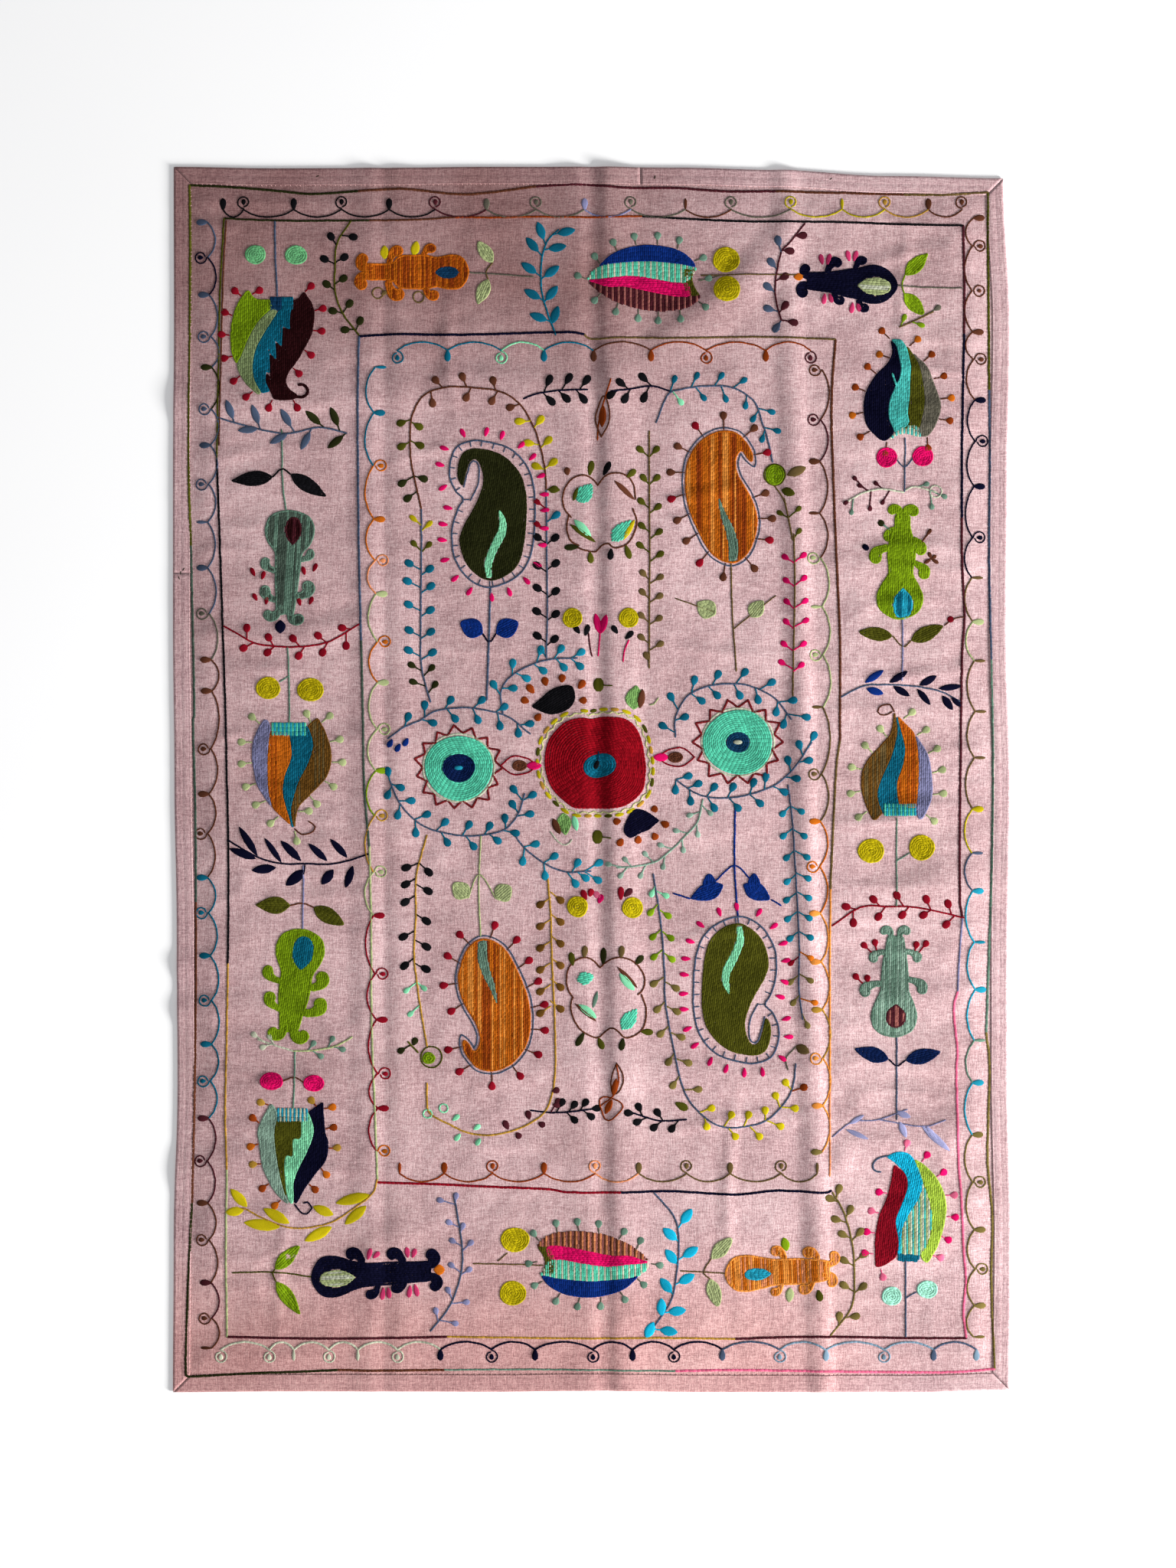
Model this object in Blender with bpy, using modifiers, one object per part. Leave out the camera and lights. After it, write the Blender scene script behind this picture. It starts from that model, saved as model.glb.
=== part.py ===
"""A suzani: one embroidered cotton cloth with a pieced, mitred binding, lying flat on its back.

Units are metres and +Z is up. The origin is on the surface under the middle of the cloth, the
length runs along Y and the width along X. The thread work itself is finer than these solids.
"""

import math
from collections import namedtuple

import bpy
import bmesh

MM = 0.001

# Driving dimensions
WIDTH = 1.507           # across X, edge to edge at the widest
LENGTH = 2.200          # along Y, edge to edge at the longest
PANEL_THICK = 1.2 * MM  # ground cloth with its thread work
BINDING_THICK = 1.0 * MM
GAP = 0.3 * MM          # clearance between neighbouring pieces
FACE_LEG = 30.0 * MM    # how far the binding reaches in over the face
BACK_LEG = 26.0 * MM    # how far it reaches in under the back
LEG_LINE = 16.0 * MM    # a line half way along both legs, where they bend with the folds
FOLD_ROOM = 3.6 * MM    # how far in from the edge the binding is curved, clear of the panel
LIFT_END = 64.0 * MM    # distance from the edge at which the panel is down on the surface again
TOP_JOIN = 0.864        # where the top binding is pieced, measured from the top left corner
LEFT_JOIN = 1.471       # where the left binding is pieced, measured from the bottom left corner
JOIN_CLEAR = 3.0 * MM   # no bend in the binding is nearer than this to a join
SHARP_DEG = 40.0        # edges sharper than this are not smoothed over

# Each edge wanders: inset in millimetres at nine even steps, left to right or bottom to top
EDGE_INSET = {
    "left": (1.4, 2.8, 9.6, 8.2, 4.1, 1.4, 1.4, 3.4, 2.8),
    "right": (4.0, 1.4, 6.9, 6.9, 2.8, 9.6, 8.2, 3.4, 15.0),
    "bottom": (0.0, 1.4, 1.4, 0.7, 2.7, 0.0, 0.0, 0.0, 4.0),
    "top": (0.0, 2.7, 2.0, 0.0, 0.0, 1.4, 5.5, 16.5, 20.6),
}

# How far the lengthwise creases lean to the right from top to bottom, in millimetres at five
# even steps, left to right
LEAN = (0.0, 0.0, 26.0, 66.0, 0.0)

# One row for each soft fold, in millimetres: its run from (x0, y0) to (x1, y1), how far its
# middle bows to the left of that run, its height at the start, middle and end, and how far it
# spreads to the left and to the right of its run
Fold = namedtuple("Fold", "name x0 y0 x1 y1 bow h_start h_mid h_end spread_left spread_right")
FOLDS = [
    Fold("left crease, left lip", -397, -1200, -397, 1200, 0, 1.4, 2.6, 1.8, 44, 24),
    Fold("left crease, right lip", -349, -1200, -349, 1200, 0, 1.0, 2.2, 1.4, 24, 50),
    Fold("centre crease, left lip", 2, -1200, -26, 1200, 0, 2.2, 3.8, 3.4, 60, 24),
    Fold("centre crease, right lip", 54, -1200, 26, 1200, 0, 1.8, 3.6, 3.0, 28, 60),
    Fold("right crease", 418, -1200, 346, 1200, 0, 3.0, 4.6, 2.6, 34, 28),
    Fold("drape at top right", 372, 1012, 40, 716, 26, 2.4, 5.0, 1.4, 56, 44),
    Fold("second drape", 318, 912, 104, 790, -14, 1.2, 3.2, 1.0, 44, 40),
    Fold("upper cross fold", -800, 672, 150, 700, 12, 2.0, 3.2, 1.6, 56, 44),
    Fold("top left fold", -560, 930, -230, 992, 14, 1.0, 2.4, 1.2, 52, 46),
    Fold("left column fold 1", -660, 276, -428, 282, -26, 1.4, 3.0, 1.6, 34, 48),
    Fold("left column fold 2", -660, -104, -380, -92, -24, 1.4, 3.0, 2.0, 36, 50),
    Fold("left column fold 3", -800, -338, -590, -330, 4, 1.8, 2.4, 0.8, 34, 34),
    Fold("left column fold 4", -800, -416, -580, -398, -4, 1.6, 2.2, 0.8, 36, 34),
    Fold("lower cross fold", -490, -528, 380, -540, 14, 1.4, 3.0, 2.2, 50, 46),
    Fold("low left edge fold", -810, -714, -520, -684, 8, 1.4, 2.4, 0.8, 54, 50),
    Fold("low left drape", -440, -890, -286, -786, 8, 1.0, 2.6, 1.0, 42, 38),
    Fold("low middle fold", -90, -842, 96, -850, 6, 1.2, 2.6, 1.4, 40, 44),
    Fold("right column fold 1", 448, 612, 640, 620, 8, 1.2, 2.8, 1.2, 56, 56),
    Fold("right column fold 2", 456, 396, 650, 388, -6, 1.4, 2.4, 0.8, 52, 52),
    Fold("right column fold 3", 432, -244, 800, -162, 10, 1.2, 3.0, 1.6, 60, 54),
    Fold("right column fold 4", 440, -402, 646, -396, -8, 1.4, 2.6, 1.6, 58, 48),
    Fold("low right fold", 440, -668, 810, -632, 10, 1.2, 2.6, 1.6, 60, 60),
    Fold("fold left of the middle", -300, 92, -60, 66, 8, 1.0, 2.2, 1.0, 46, 46),
    Fold("fold right of the middle", 110, -92, 316, -60, -8, 1.0, 2.4, 1.0, 46, 46),
]

# Lattice of the cloth, shared by the panel and the binding that follows it, in metres
BORDER_LINES = (FOLD_ROOM, LEG_LINE, FACE_LEG + MM, LIFT_END)  # lines along each edge
FOLD_LINES = (-1.0, -0.5, 0.0, 0.5, 1.0)  # lines beside a lengthwise fold, in parts of its spread
COLUMN_PITCH = 0.080
ROW_PITCH = 0.044
CLEAR_PITCH = 0.35  # an even line that is nearer than this part of a pitch to another is left out

# Section of the binding's inner skin: inset from the outer edge, and which side of the panel
# it lies on, from 1 over the face to -1 under the back
HALF_TURN = (0.5 * FOLD_ROOM, 0.72)
SECTION = (
    (FACE_LEG, 1.0),
    (LEG_LINE, 1.0),
    (FOLD_ROOM, 1.0),
    HALF_TURN,
    (BINDING_THICK, 0.0),
    (HALF_TURN[0], -HALF_TURN[1]),
    (FOLD_ROOM, -1.0),
    (LEG_LINE, -1.0),
    (BACK_LEG, -1.0),
)

# Lengths of binding: edge, start and end along the edge, walking clockwise seen from above;
# None is the mitred corner
Strip = namedtuple("Strip", "name edge start end")
STRIPS = [
    Strip("binding_top_left", "top", None, TOP_JOIN),
    Strip("binding_top_right", "top", TOP_JOIN, None),
    Strip("binding_right", "right", None, None),
    Strip("binding_bottom", "bottom", None, None),
    Strip("binding_left_lower", "left", None, LEFT_JOIN),
    Strip("binding_left_upper", "left", LEFT_JOIN, None),
]

GROUND_PINK = (0.60, 0.335, 0.330)
BINDING_PINK = (0.57, 0.315, 0.318)


def remove_everything():
    for item in list(bpy.data.objects):
        bpy.data.objects.remove(item, do_unlink=True)


def new_collection(name):
    collection = bpy.data.collections.new(name)
    bpy.context.scene.collection.children.link(collection)
    return collection


def cotton(name, colour):
    material = bpy.data.materials.new(name)
    material.use_nodes = True
    shader = material.node_tree.nodes["Principled BSDF"]
    shader.inputs["Base Color"].default_value = (*colour, 1.0)
    shader.inputs["Roughness"].default_value = 0.92
    shader.inputs["Metallic"].default_value = 0.0
    return material


def eased(values, t):
    """The value at t, from 0 to 1, along evenly spaced values joined by smooth steps."""
    place = min(max(t, 0.0), 1.0) * (len(values) - 1)
    first = min(int(place), len(values) - 2)
    blend = 0.5 - 0.5 * math.cos(math.pi * (place - first))
    return values[first] + (values[first + 1] - values[first]) * blend


def plan_point(a, b):
    """World X and Y of a point that lies a from the left and b from the bottom of the cut."""
    across, along = a / WIDTH, b / LENGTH
    left = eased(EDGE_INSET["left"], along) * MM
    right = eased(EDGE_INSET["right"], along) * MM
    bottom = eased(EDGE_INSET["bottom"], across) * MM
    top = eased(EDGE_INSET["top"], across) * MM
    lean = eased(LEAN, across) * MM * (0.5 - along)
    x = a - WIDTH / 2 + left * (1 - across) - right * across + lean
    y = b - LENGTH / 2 + bottom * (1 - along) - top * along
    return x, y


def rounded(q):
    """A soft hump: 1 at 0, level there, and flat down to 0 at 1 and beyond."""
    return (1 - q * q) ** 2 if abs(q) < 1 else 0.0


def fold_height(x, y):
    """How far the folds hold the cloth above the surface at a world point."""
    total = 0.0
    for fold in FOLDS:
        run_x, run_y = fold.x1 - fold.x0, fold.y1 - fold.y0
        length = math.hypot(run_x, run_y)
        step_x, step_y = x / MM - fold.x0, y / MM - fold.y0
        along = (step_x * run_x + step_y * run_y) / length
        t = min(max(along / length, 0.0), 1.0)
        across = (step_y * run_x - step_x * run_y) / length - fold.bow * math.sin(math.pi * t)
        spread = fold.spread_left if across > 0 else fold.spread_right
        beyond = max(-along, along - length, 0.0)
        height = eased((fold.h_start, fold.h_mid, fold.h_end), t)
        total += height * rounded(across / spread) * rounded(beyond / spread)
    return total * MM


def edge_distance(a, b):
    return min(a, WIDTH - a, b, LENGTH - b)


def border_lift(distance):
    """The panel rides on the binding's back leg along each edge, then comes down."""
    t = (distance - BORDER_LINES[2]) / (LIFT_END - BORDER_LINES[2])
    return (BINDING_THICK + GAP) * eased((1.0, 0.0), t)


def lines_beside(fold):
    """Lattice lines on the crest and the flanks of a fold that runs the length of the cloth."""
    crest = (fold.x0 + fold.x1) / 2
    spread = {True: fold.spread_left, False: fold.spread_right}
    return [WIDTH / 2 + round(crest + part * spread[part < 0]) * MM for part in FOLD_LINES]


def lattice_lines(span, pitch, join, extra):
    """Sorted positions of the cloth's lattice lines along one direction of its cut."""
    lines = {join, *extra, *BORDER_LINES, *(span - line for line in BORDER_LINES)}
    count = round((span - 2 * LIFT_END) / pitch)
    for index in range(1, count):
        line = LIFT_END + (span - 2 * LIFT_END) * index / count
        if min(abs(line - other) for other in lines) > CLEAR_PITCH * pitch:
            lines.add(line)
    return sorted(lines)


LONG_FOLDS = [fold for fold in FOLDS if abs(fold.y1 - fold.y0) > LENGTH / MM / 2]
CREST_LINES = [line for fold in LONG_FOLDS for line in lines_beside(fold)]
COLUMNS = lattice_lines(WIDTH, COLUMN_PITCH, TOP_JOIN, CREST_LINES)
ROWS = lattice_lines(LENGTH, ROW_PITCH, LEFT_JOIN, ())


def lattice_sheet(name, columns, rows, place):
    """An open sheet with one vertex for each column and row, put where place says."""
    mesh = bpy.data.meshes.new(name)
    bm = bmesh.new()
    x_faces, y_faces = len(columns) - 1, len(rows) - 1
    bmesh.ops.create_grid(bm, x_segments=x_faces, y_segments=y_faces, size=1.0)
    for vertex in bm.verts:
        column = columns[round((vertex.co.x + 1) / 2 * x_faces)]
        row = rows[round((vertex.co.y + 1) / 2 * y_faces)]
        vertex.co = place(column, row)
    bm.to_mesh(mesh)
    bm.free()
    return bpy.data.objects.new(name, mesh)


def thicken(sheet, thickness):
    """Grow the sheet outward from its inner skin by the thickness of the cloth."""
    solidify = sheet.modifiers.new("Cloth thickness", "SOLIDIFY")
    solidify.thickness = thickness
    solidify.offset = 1.0
    sheet.data.shade_smooth()
    sheet.data.set_sharp_from_angle(angle=math.radians(SHARP_DEG))


def panel_underside(a, b):
    x, y = plan_point(a, b)
    return x, y, fold_height(x, y) + border_lift(edge_distance(a, b))


def make_panel(collection, material):
    panel = lattice_sheet("panel", COLUMNS, ROWS, panel_underside)
    thicken(panel, PANEL_THICK)
    panel.data.materials.append(material)
    collection.objects.link(panel)
    return panel


def along_edge(edge, along, inset):
    """Place in the cut of a point on an edge, walking clockwise seen from above."""
    return {
        "top": (along, LENGTH - inset),
        "right": (WIDTH - inset, LENGTH - along),
        "bottom": (WIDTH - along, inset),
        "left": (inset, along),
    }[edge]


def strip_stations(strip, length):
    """Stations along a strip: its two ends, and the lattice lines between them."""
    lines = COLUMNS if strip.edge in ("top", "bottom") else ROWS
    if strip.edge in ("right", "bottom"):
        lines = [length - line for line in reversed(lines)]
    clear = FACE_LEG + 2 * GAP
    first = clear if strip.start is None else strip.start + JOIN_CLEAR
    last = length - clear if strip.end is None else strip.end - JOIN_CLEAR
    return [strip.start] + [line for line in lines if first < line < last] + [strip.end]


def make_strip(strip, collection, material):
    length = WIDTH if strip.edge in ("top", "bottom") else LENGTH
    stations = strip_stations(strip, length)
    mid_height = PANEL_THICK / 2
    skin_offset = mid_height + GAP

    def place(station_index, section_index):
        inset, side = SECTION[section_index]
        along = stations[station_index]
        if station_index == 0:
            along = inset + GAP if along is None else along + GAP
        elif station_index == len(stations) - 1:
            along = length - inset - GAP if along is None else along - GAP
        x, y = plan_point(*along_edge(strip.edge, along, inset))
        return x, y, fold_height(x, y) + BINDING_THICK + GAP + mid_height + side * skin_offset

    folded = lattice_sheet(strip.name, range(len(stations)), range(len(SECTION)), place)
    thicken(folded, BINDING_THICK)
    folded.data.materials.append(material)
    collection.objects.link(folded)
    return folded


def main():
    remove_everything()
    collection = new_collection("suzani")
    base = bpy.data.objects.new("suzani_base", None)
    collection.objects.link(base)
    pieces = [make_panel(collection, cotton("ground cotton", GROUND_PINK))]
    binding = cotton("binding cotton", BINDING_PINK)
    pieces += [make_strip(strip, collection, binding) for strip in STRIPS]
    for piece in pieces:
        piece.parent = base


main()
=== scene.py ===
import math

import bpy
import numpy as np
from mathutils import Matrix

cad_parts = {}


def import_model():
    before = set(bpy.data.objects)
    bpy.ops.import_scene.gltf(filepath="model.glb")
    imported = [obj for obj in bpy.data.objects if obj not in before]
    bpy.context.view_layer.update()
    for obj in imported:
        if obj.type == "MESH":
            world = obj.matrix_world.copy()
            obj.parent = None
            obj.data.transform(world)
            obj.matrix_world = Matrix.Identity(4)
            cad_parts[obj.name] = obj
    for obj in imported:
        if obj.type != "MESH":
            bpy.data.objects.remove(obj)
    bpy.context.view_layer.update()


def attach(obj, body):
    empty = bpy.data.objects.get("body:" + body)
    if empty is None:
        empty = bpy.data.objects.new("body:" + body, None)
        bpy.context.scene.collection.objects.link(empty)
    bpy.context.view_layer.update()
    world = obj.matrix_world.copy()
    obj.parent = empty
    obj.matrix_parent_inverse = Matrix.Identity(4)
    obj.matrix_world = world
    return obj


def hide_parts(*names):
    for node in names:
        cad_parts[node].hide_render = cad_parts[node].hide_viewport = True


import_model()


# ---------------------------------------------------------------- sizes, in metres unless said
MM = 0.001
WIDTH = 1.507
LENGTH = 2.200
PANEL_THICK = 1.2 * MM
CLOTH_THICK = 1.0 * MM
BINDING_THICK = 1.0 * MM
GAP = 0.3 * MM
FACE_LEG = 30.0 * MM
FOLD_ROOM = 3.6 * MM
LIFT_END = 64.0 * MM
TOP_JOIN = 0.864
LEFT_JOIN = 1.471
BINDING_TOP = 2 * BINDING_THICK + 2 * GAP + PANEL_THICK

# how far each edge stands in from a true rectangle, in mm, at nine even steps
EDGE_INSET = {
    "left": (1.4, 2.8, 9.6, 8.2, 4.1, 1.4, 1.4, 3.4, 2.8),
    "right": (4.0, 1.4, 6.9, 6.9, 2.8, 9.6, 8.2, 3.4, 15.0),
    "bottom": (0.0, 1.4, 1.4, 0.7, 2.7, 0.0, 0.0, 0.0, 4.0),
    "top": (0.0, 2.7, 2.0, 0.0, 0.0, 1.4, 5.5, 16.5, 20.6)}
# how far upright lines lean to the right from top to bottom, in mm, at five steps from left to right
LEAN = (0.0, 0.0, 26.0, 66.0, 0.0)

# main folds, in mm: line from (x0, y0) to (x1, y1), bow, three heights, spread to each side
FOLDS = [
    (-397, -1200, -397, 1200, 0, 1.4, 2.6, 1.8, 44, 24),
    (-349, -1200, -349, 1200, 0, 1.0, 2.2, 1.4, 24, 50),
    (2, -1200, -26, 1200, 0, 1.6, 1.8, 1.6, 60, 16),
    (54, -1200, 26, 1200, 0, 2.6, 4.8, 4.0, 22, 60),
    (418, -1200, 346, 1200, 0, 3.0, 4.6, 2.6, 34, 28),
    (372, 1012, 40, 716, 26, 2.4, 5.0, 1.4, 56, 44),
    (318, 912, 104, 790, -14, 1.2, 3.2, 1.0, 44, 40),
    (-800, 672, 150, 700, 12, 2.0, 3.2, 1.6, 56, 44),
    (-560, 930, -230, 992, 14, 1.0, 2.4, 1.2, 52, 46),
    (-660, 276, -428, 282, -26, 1.4, 3.0, 1.6, 34, 48),
    (-660, -104, -380, -92, -24, 1.4, 3.0, 2.0, 36, 50),
    (-800, -338, -590, -330, 4, 1.8, 2.4, 0.8, 34, 34),
    (-800, -416, -580, -398, -4, 1.6, 2.2, 0.8, 36, 34),
    (-490, -528, 380, -540, 14, 1.4, 3.0, 2.2, 50, 46),
    (-810, -714, -520, -684, 8, 1.4, 2.4, 0.8, 54, 50),
    (-440, -890, -286, -786, 8, 1.0, 2.6, 1.0, 42, 38),
    (-90, -842, 96, -850, 6, 1.2, 2.6, 1.4, 40, 44),
    (448, 612, 640, 620, 8, 1.2, 2.8, 1.2, 56, 56),
    (456, 396, 650, 388, -6, 1.4, 2.4, 0.8, 52, 52),
    (432, -244, 800, -162, 10, 1.2, 3.0, 1.6, 60, 54),
    (440, -402, 646, -396, -8, 1.4, 2.6, 1.6, 58, 48),
    (440, -668, 810, -632, 10, 1.2, 2.6, 1.6, 60, 60),
    (-300, 92, -60, 66, 8, 1.0, 2.2, 1.0, 46, 46),
    (110, -92, 316, -60, -8, 1.0, 2.4, 1.0, 46, 46)]
# the folds' heights are raised by this share, to read in soft light
RELIEF = 1.45
# the long creases' sharp sides: the right one (-1) or the left one (1) of the first few folds
CRISP_SIDES = (-1, 1, -1, 1)

# small creases that the solids leave out, in mm: line, bow, height, spread
CREASES = [
    (-700, 560, -560, 588, 10, 0.9, 22), (-690, 470, -600, 452, -8, 0.8, 20),
    (-640, 200, -480, 176, 10, 0.9, 22), (-690, 60, -600, 84, 6, 0.8, 18),
    (-660, -196, -470, -214, -10, 0.9, 22), (-640, -560, -500, -540, 8, 0.9, 20),
    (-700, -620, -560, -640, 8, 0.8, 20), (-640, -850, -470, -880, -8, 0.9, 22),
    (-380, 560, -190, 600, 10, 0.9, 20), (-330, 250, -140, 230, -10, 0.8, 20),
    (-340, -180, -130, -210, 10, 0.9, 22), (-300, -640, -110, -660, -8, 0.9, 22),
    (90, 480, 300, 520, 10, 0.9, 22), (100, 250, 330, 220, -8, 0.8, 20),
    (120, -300, 330, -270, 8, 0.9, 22), (110, -640, 360, -610, 10, 0.9, 22),
    (470, 910, 640, 950, 8, 0.9, 24), (470, 760, 660, 730, -8, 0.9, 22),
    (450, 520, 640, 505, 6, 0.8, 18), (460, 300, 650, 320, 8, 0.9, 22),
    (450, 180, 660, 196, -6, 0.8, 20), (450, 60, 640, 40, 6, 0.8, 18),
    (450, -90, 650, -70, 6, 0.9, 20), (450, -320, 640, -310, 5, 0.8, 18),
    (450, -500, 650, -520, -8, 0.9, 22), (470, -760, 660, -790, 8, 0.9, 22),
    (-240, 640, -250, 880, 12, 0.8, 24), (250, -900, 262, -560, 10, 0.9, 24),
    (-560, -1000, -540, -760, 8, 0.8, 22), (560, 720, 572, 1010, 8, 0.8, 22)]
CREASE_HEIGHTS = (0.6, 2.4, 0.9)
CREASE_STEEP = 0.6

# wrinkles between the folds: height in the middle of the cloth and more of it at its sides,
# slant of x by y and of y by x, cell size in mm, seed
WRINKLES = [
    (0.75, 0.0, 0.0, 0.0, 150, 60, 11),
    (0.85, 1.0, 0.3, 0.0, 110, 26, 12),
    (0.90, 0.0, 0.4, -0.4, 42, 30, 13),
    (0.70, 0.0, 0.0, 0.0, 34, 120, 14),
    (0.60, 0.0, 0.0, 0.0, 19, 13, 15)]
CREST = (0.75, 1.2, -0.2, 0.12, 170, 52, 16)
CREST_STEEP = 3.2
CREST_POWER = 1.4
WRINKLE = 1.42
SIDE_START = 0.36
SIDE_RUN = 0.10
WRINKLE_START = 34.0 * MM
WRINKLE_RUN = 30.0 * MM
CALM_HEIGHT = 16.0 * MM
NOISE_CELLS = 97
NOISE_SHIFT = 1000.0


# ---------------------------------------------------------------- the form of the cloth
def eased(values, t):
    """Soft steps between values, for t from 0 to 1."""
    table = np.asarray(values, float)
    place_in = np.clip(t, 0.0, 1.0) * (len(table) - 1)
    first = np.minimum(place_in.astype(int), len(table) - 2)
    blend = 0.5 - 0.5 * np.cos(np.pi * (place_in - first))
    return table[first] * (1.0 - blend) + table[first + 1] * blend


def ramp(value, start, run):
    """0 up to start, then up to 1 over the length of run, which may be below 0."""
    return np.clip((value - start) / run, 0.0, 1.0)


def plan_point(a, b):
    """World x and y of a point a from the left edge and b from the bottom one."""
    across = a / WIDTH
    along = b / LENGTH
    left = eased(EDGE_INSET["left"], along) * MM
    right = eased(EDGE_INSET["right"], along) * MM
    bottom = eased(EDGE_INSET["bottom"], across) * MM
    top = eased(EDGE_INSET["top"], across) * MM
    x = a - WIDTH / 2 + left * (1 - across) - right * across
    x = x + eased(LEAN, across) * MM * (0.5 - along)
    y = b - LENGTH / 2 + bottom * (1 - along) - top * along
    return x, y


def sheet_point(x, y):
    """The other way round: how far a world point is from the left edge and from the bottom one."""
    a = x + WIDTH / 2
    b = y + LENGTH / 2
    for _ in range(3):
        px, py = plan_point(a, b)
        a = a + (x - px)
        b = b + (y - py)
    return a, b


def nearest_edge(a, b):
    return np.minimum(np.minimum(a, WIDTH - a), np.minimum(b, LENGTH - b))


def rounded(q):
    return np.where(np.abs(q) < 1.0, (1.0 - q * q) ** 2, 0.0)


def crisp(q):
    """An even slope with a rounded crest and a sharp foot."""
    soft_crest = 0.25
    fall = (np.sqrt(q * q + soft_crest ** 2) - soft_crest) / (math.sqrt(1 + soft_crest ** 2) - soft_crest)
    return np.where(np.abs(q) < 1.0, 1.0 - fall, 0.0)


def ridge(x, y, line_mm, bow, heights, spread_left, spread_right, crisp_side=0):
    x0, y0, x1, y1 = line_mm
    run_x = x1 - x0
    run_y = y1 - y0
    length = math.hypot(run_x, run_y)
    step_x = x / MM - x0
    step_y = y / MM - y0
    along = (step_x * run_x + step_y * run_y) / length
    t = np.clip(along / length, 0.0, 1.0)
    across = (step_y * run_x - step_x * run_y) / length - bow * np.sin(np.pi * t)
    spread = np.where(across > 0, spread_left, spread_right)
    beyond = np.maximum(np.maximum(-along, along - length), 0.0)
    section = np.where(across * crisp_side > 0, crisp(across / spread), rounded(across / spread))
    return eased(heights, t) * section * rounded(beyond / spread) * MM


def fold_height(x, y):
    total = np.zeros(np.shape(x))
    for k, (x0, y0, x1, y1, bow, h0, h1, h2, left, right) in enumerate(FOLDS):
        side = CRISP_SIDES[k] if k < len(CRISP_SIDES) else 0
        total = total + ridge(x, y, (x0, y0, x1, y1), bow, (h0, h1, h2), left, right, side)
    return RELIEF * total


def border_lift(distance):
    """How much the panel is raised where the binding's back leg lies under it."""
    flat_from = FACE_LEG + MM
    return (BINDING_THICK + GAP) * eased((1.0, 0.0), (distance - flat_from) / (LIFT_END - flat_from))


def value_noise(x, y, cell_x, cell_y, seed):
    """Soft noise from 0 to 1, with cells of that size in metres."""
    table = np.random.default_rng(seed).random((NOISE_CELLS, NOISE_CELLS))
    u = x / cell_x + NOISE_SHIFT
    v = y / cell_y + NOISE_SHIFT
    iu = np.floor(u).astype(int)
    iv = np.floor(v).astype(int)
    fu = u - iu
    fv = v - iv
    fu = fu * fu * (3 - 2 * fu)
    fv = fv * fv * (3 - 2 * fv)

    def corner(row, column):
        return table[row % NOISE_CELLS, column % NOISE_CELLS]

    low = corner(iv, iu) * (1 - fu) + corner(iv, iu + 1) * fu
    high = corner(iv + 1, iu) * (1 - fu) + corner(iv + 1, iu + 1) * fu
    return low * (1 - fv) + high * fv


def slanted_noise(x, y, slant_x, slant_y, cell_x, cell_y, seed):
    return value_noise(x + slant_x * y, y + slant_y * x, cell_x * MM, cell_y * MM, seed)


def wrinkle(x, y, distance):
    """Small unevenness of the cloth between its folds, never below 0."""
    side = ramp(np.abs(x), SIDE_START, SIDE_RUN)
    total = 0.0
    for height, more, *noise in WRINKLES:
        total = total + (height + more * side) * slanted_noise(x, y, *noise)
    height, more, *noise = CREST
    crest = np.clip(1.0 - CREST_STEEP * np.abs(slanted_noise(x, y, *noise) - 0.5), 0.0, 1.0) ** CREST_POWER
    total = total + (height + more * side) * crest
    for x0, y0, x1, y1, bow, height, spread in CREASES:
        heights = [share * height for share in CREASE_HEIGHTS]
        total = total + ridge(x, y, (x0, y0, x1, y1), bow, heights, spread, CREASE_STEEP * spread) / MM
    return WRINKLE * total * ramp(distance, WRINKLE_START, WRINKLE_RUN) * MM


def cloth_top(x, y):
    """Height of the panel's upper face. Its wrinkles are calmer on the high folds."""
    distance = nearest_edge(*sheet_point(x, y))
    fold = fold_height(x, y)
    calm = np.clip(1.15 - fold / CALM_HEIGHT, 0.5, 1.0)
    return fold + border_lift(distance) + PANEL_THICK + calm * wrinkle(x, y, distance)


# the top face's cells, and how many of them one cell of the underside spans
COARSE = 3
CELLS_X = COARSE * 72
CELLS_Y = COARSE * 105
GRID_X, GRID_Y = plan_point(*np.meshgrid(np.linspace(FOLD_ROOM, WIDTH - FOLD_ROOM, CELLS_X + 1),
                                         np.linspace(FOLD_ROOM, LENGTH - FOLD_ROOM, CELLS_Y + 1)))
GRID_TOP = cloth_top(GRID_X, GRID_Y)
# where thread passes from the panel up to the binding, from the edge inwards
STEP_FOOT = 31.8 * MM
STEP_RUN = 2.4 * MM


def surface(x, y):
    """The face that the thread lies on: the cloth's mesh, or the binding along the edge."""
    a, b = sheet_point(x, y)
    u = np.clip((a - FOLD_ROOM) / (WIDTH - 2 * FOLD_ROOM) * CELLS_X, 0.0, CELLS_X - 0.001)
    v = np.clip((b - FOLD_ROOM) / (LENGTH - 2 * FOLD_ROOM) * CELLS_Y, 0.0, CELLS_Y - 0.001)
    column, row = u.astype(int), v.astype(int)
    u, v = u - column, v - row
    low = GRID_TOP[row, column] * (1 - u) + GRID_TOP[row, column + 1] * u
    high = GRID_TOP[row + 1, column] * (1 - u) + GRID_TOP[row + 1, column + 1] * u
    panel = low * (1 - v) + high * v
    t = ramp(nearest_edge(a, b), STEP_FOOT, -STEP_RUN)
    binding = np.array(panel)
    near = t > 0.0
    binding[near] = np.maximum(panel[near], fold_height(x[near], y[near]) + BINDING_TOP)
    return panel * (1 - t) + binding * t


# ---------------------------------------------------------------- materials
WHITE = (1.0, 1.0, 1.0, 1.0)
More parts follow.
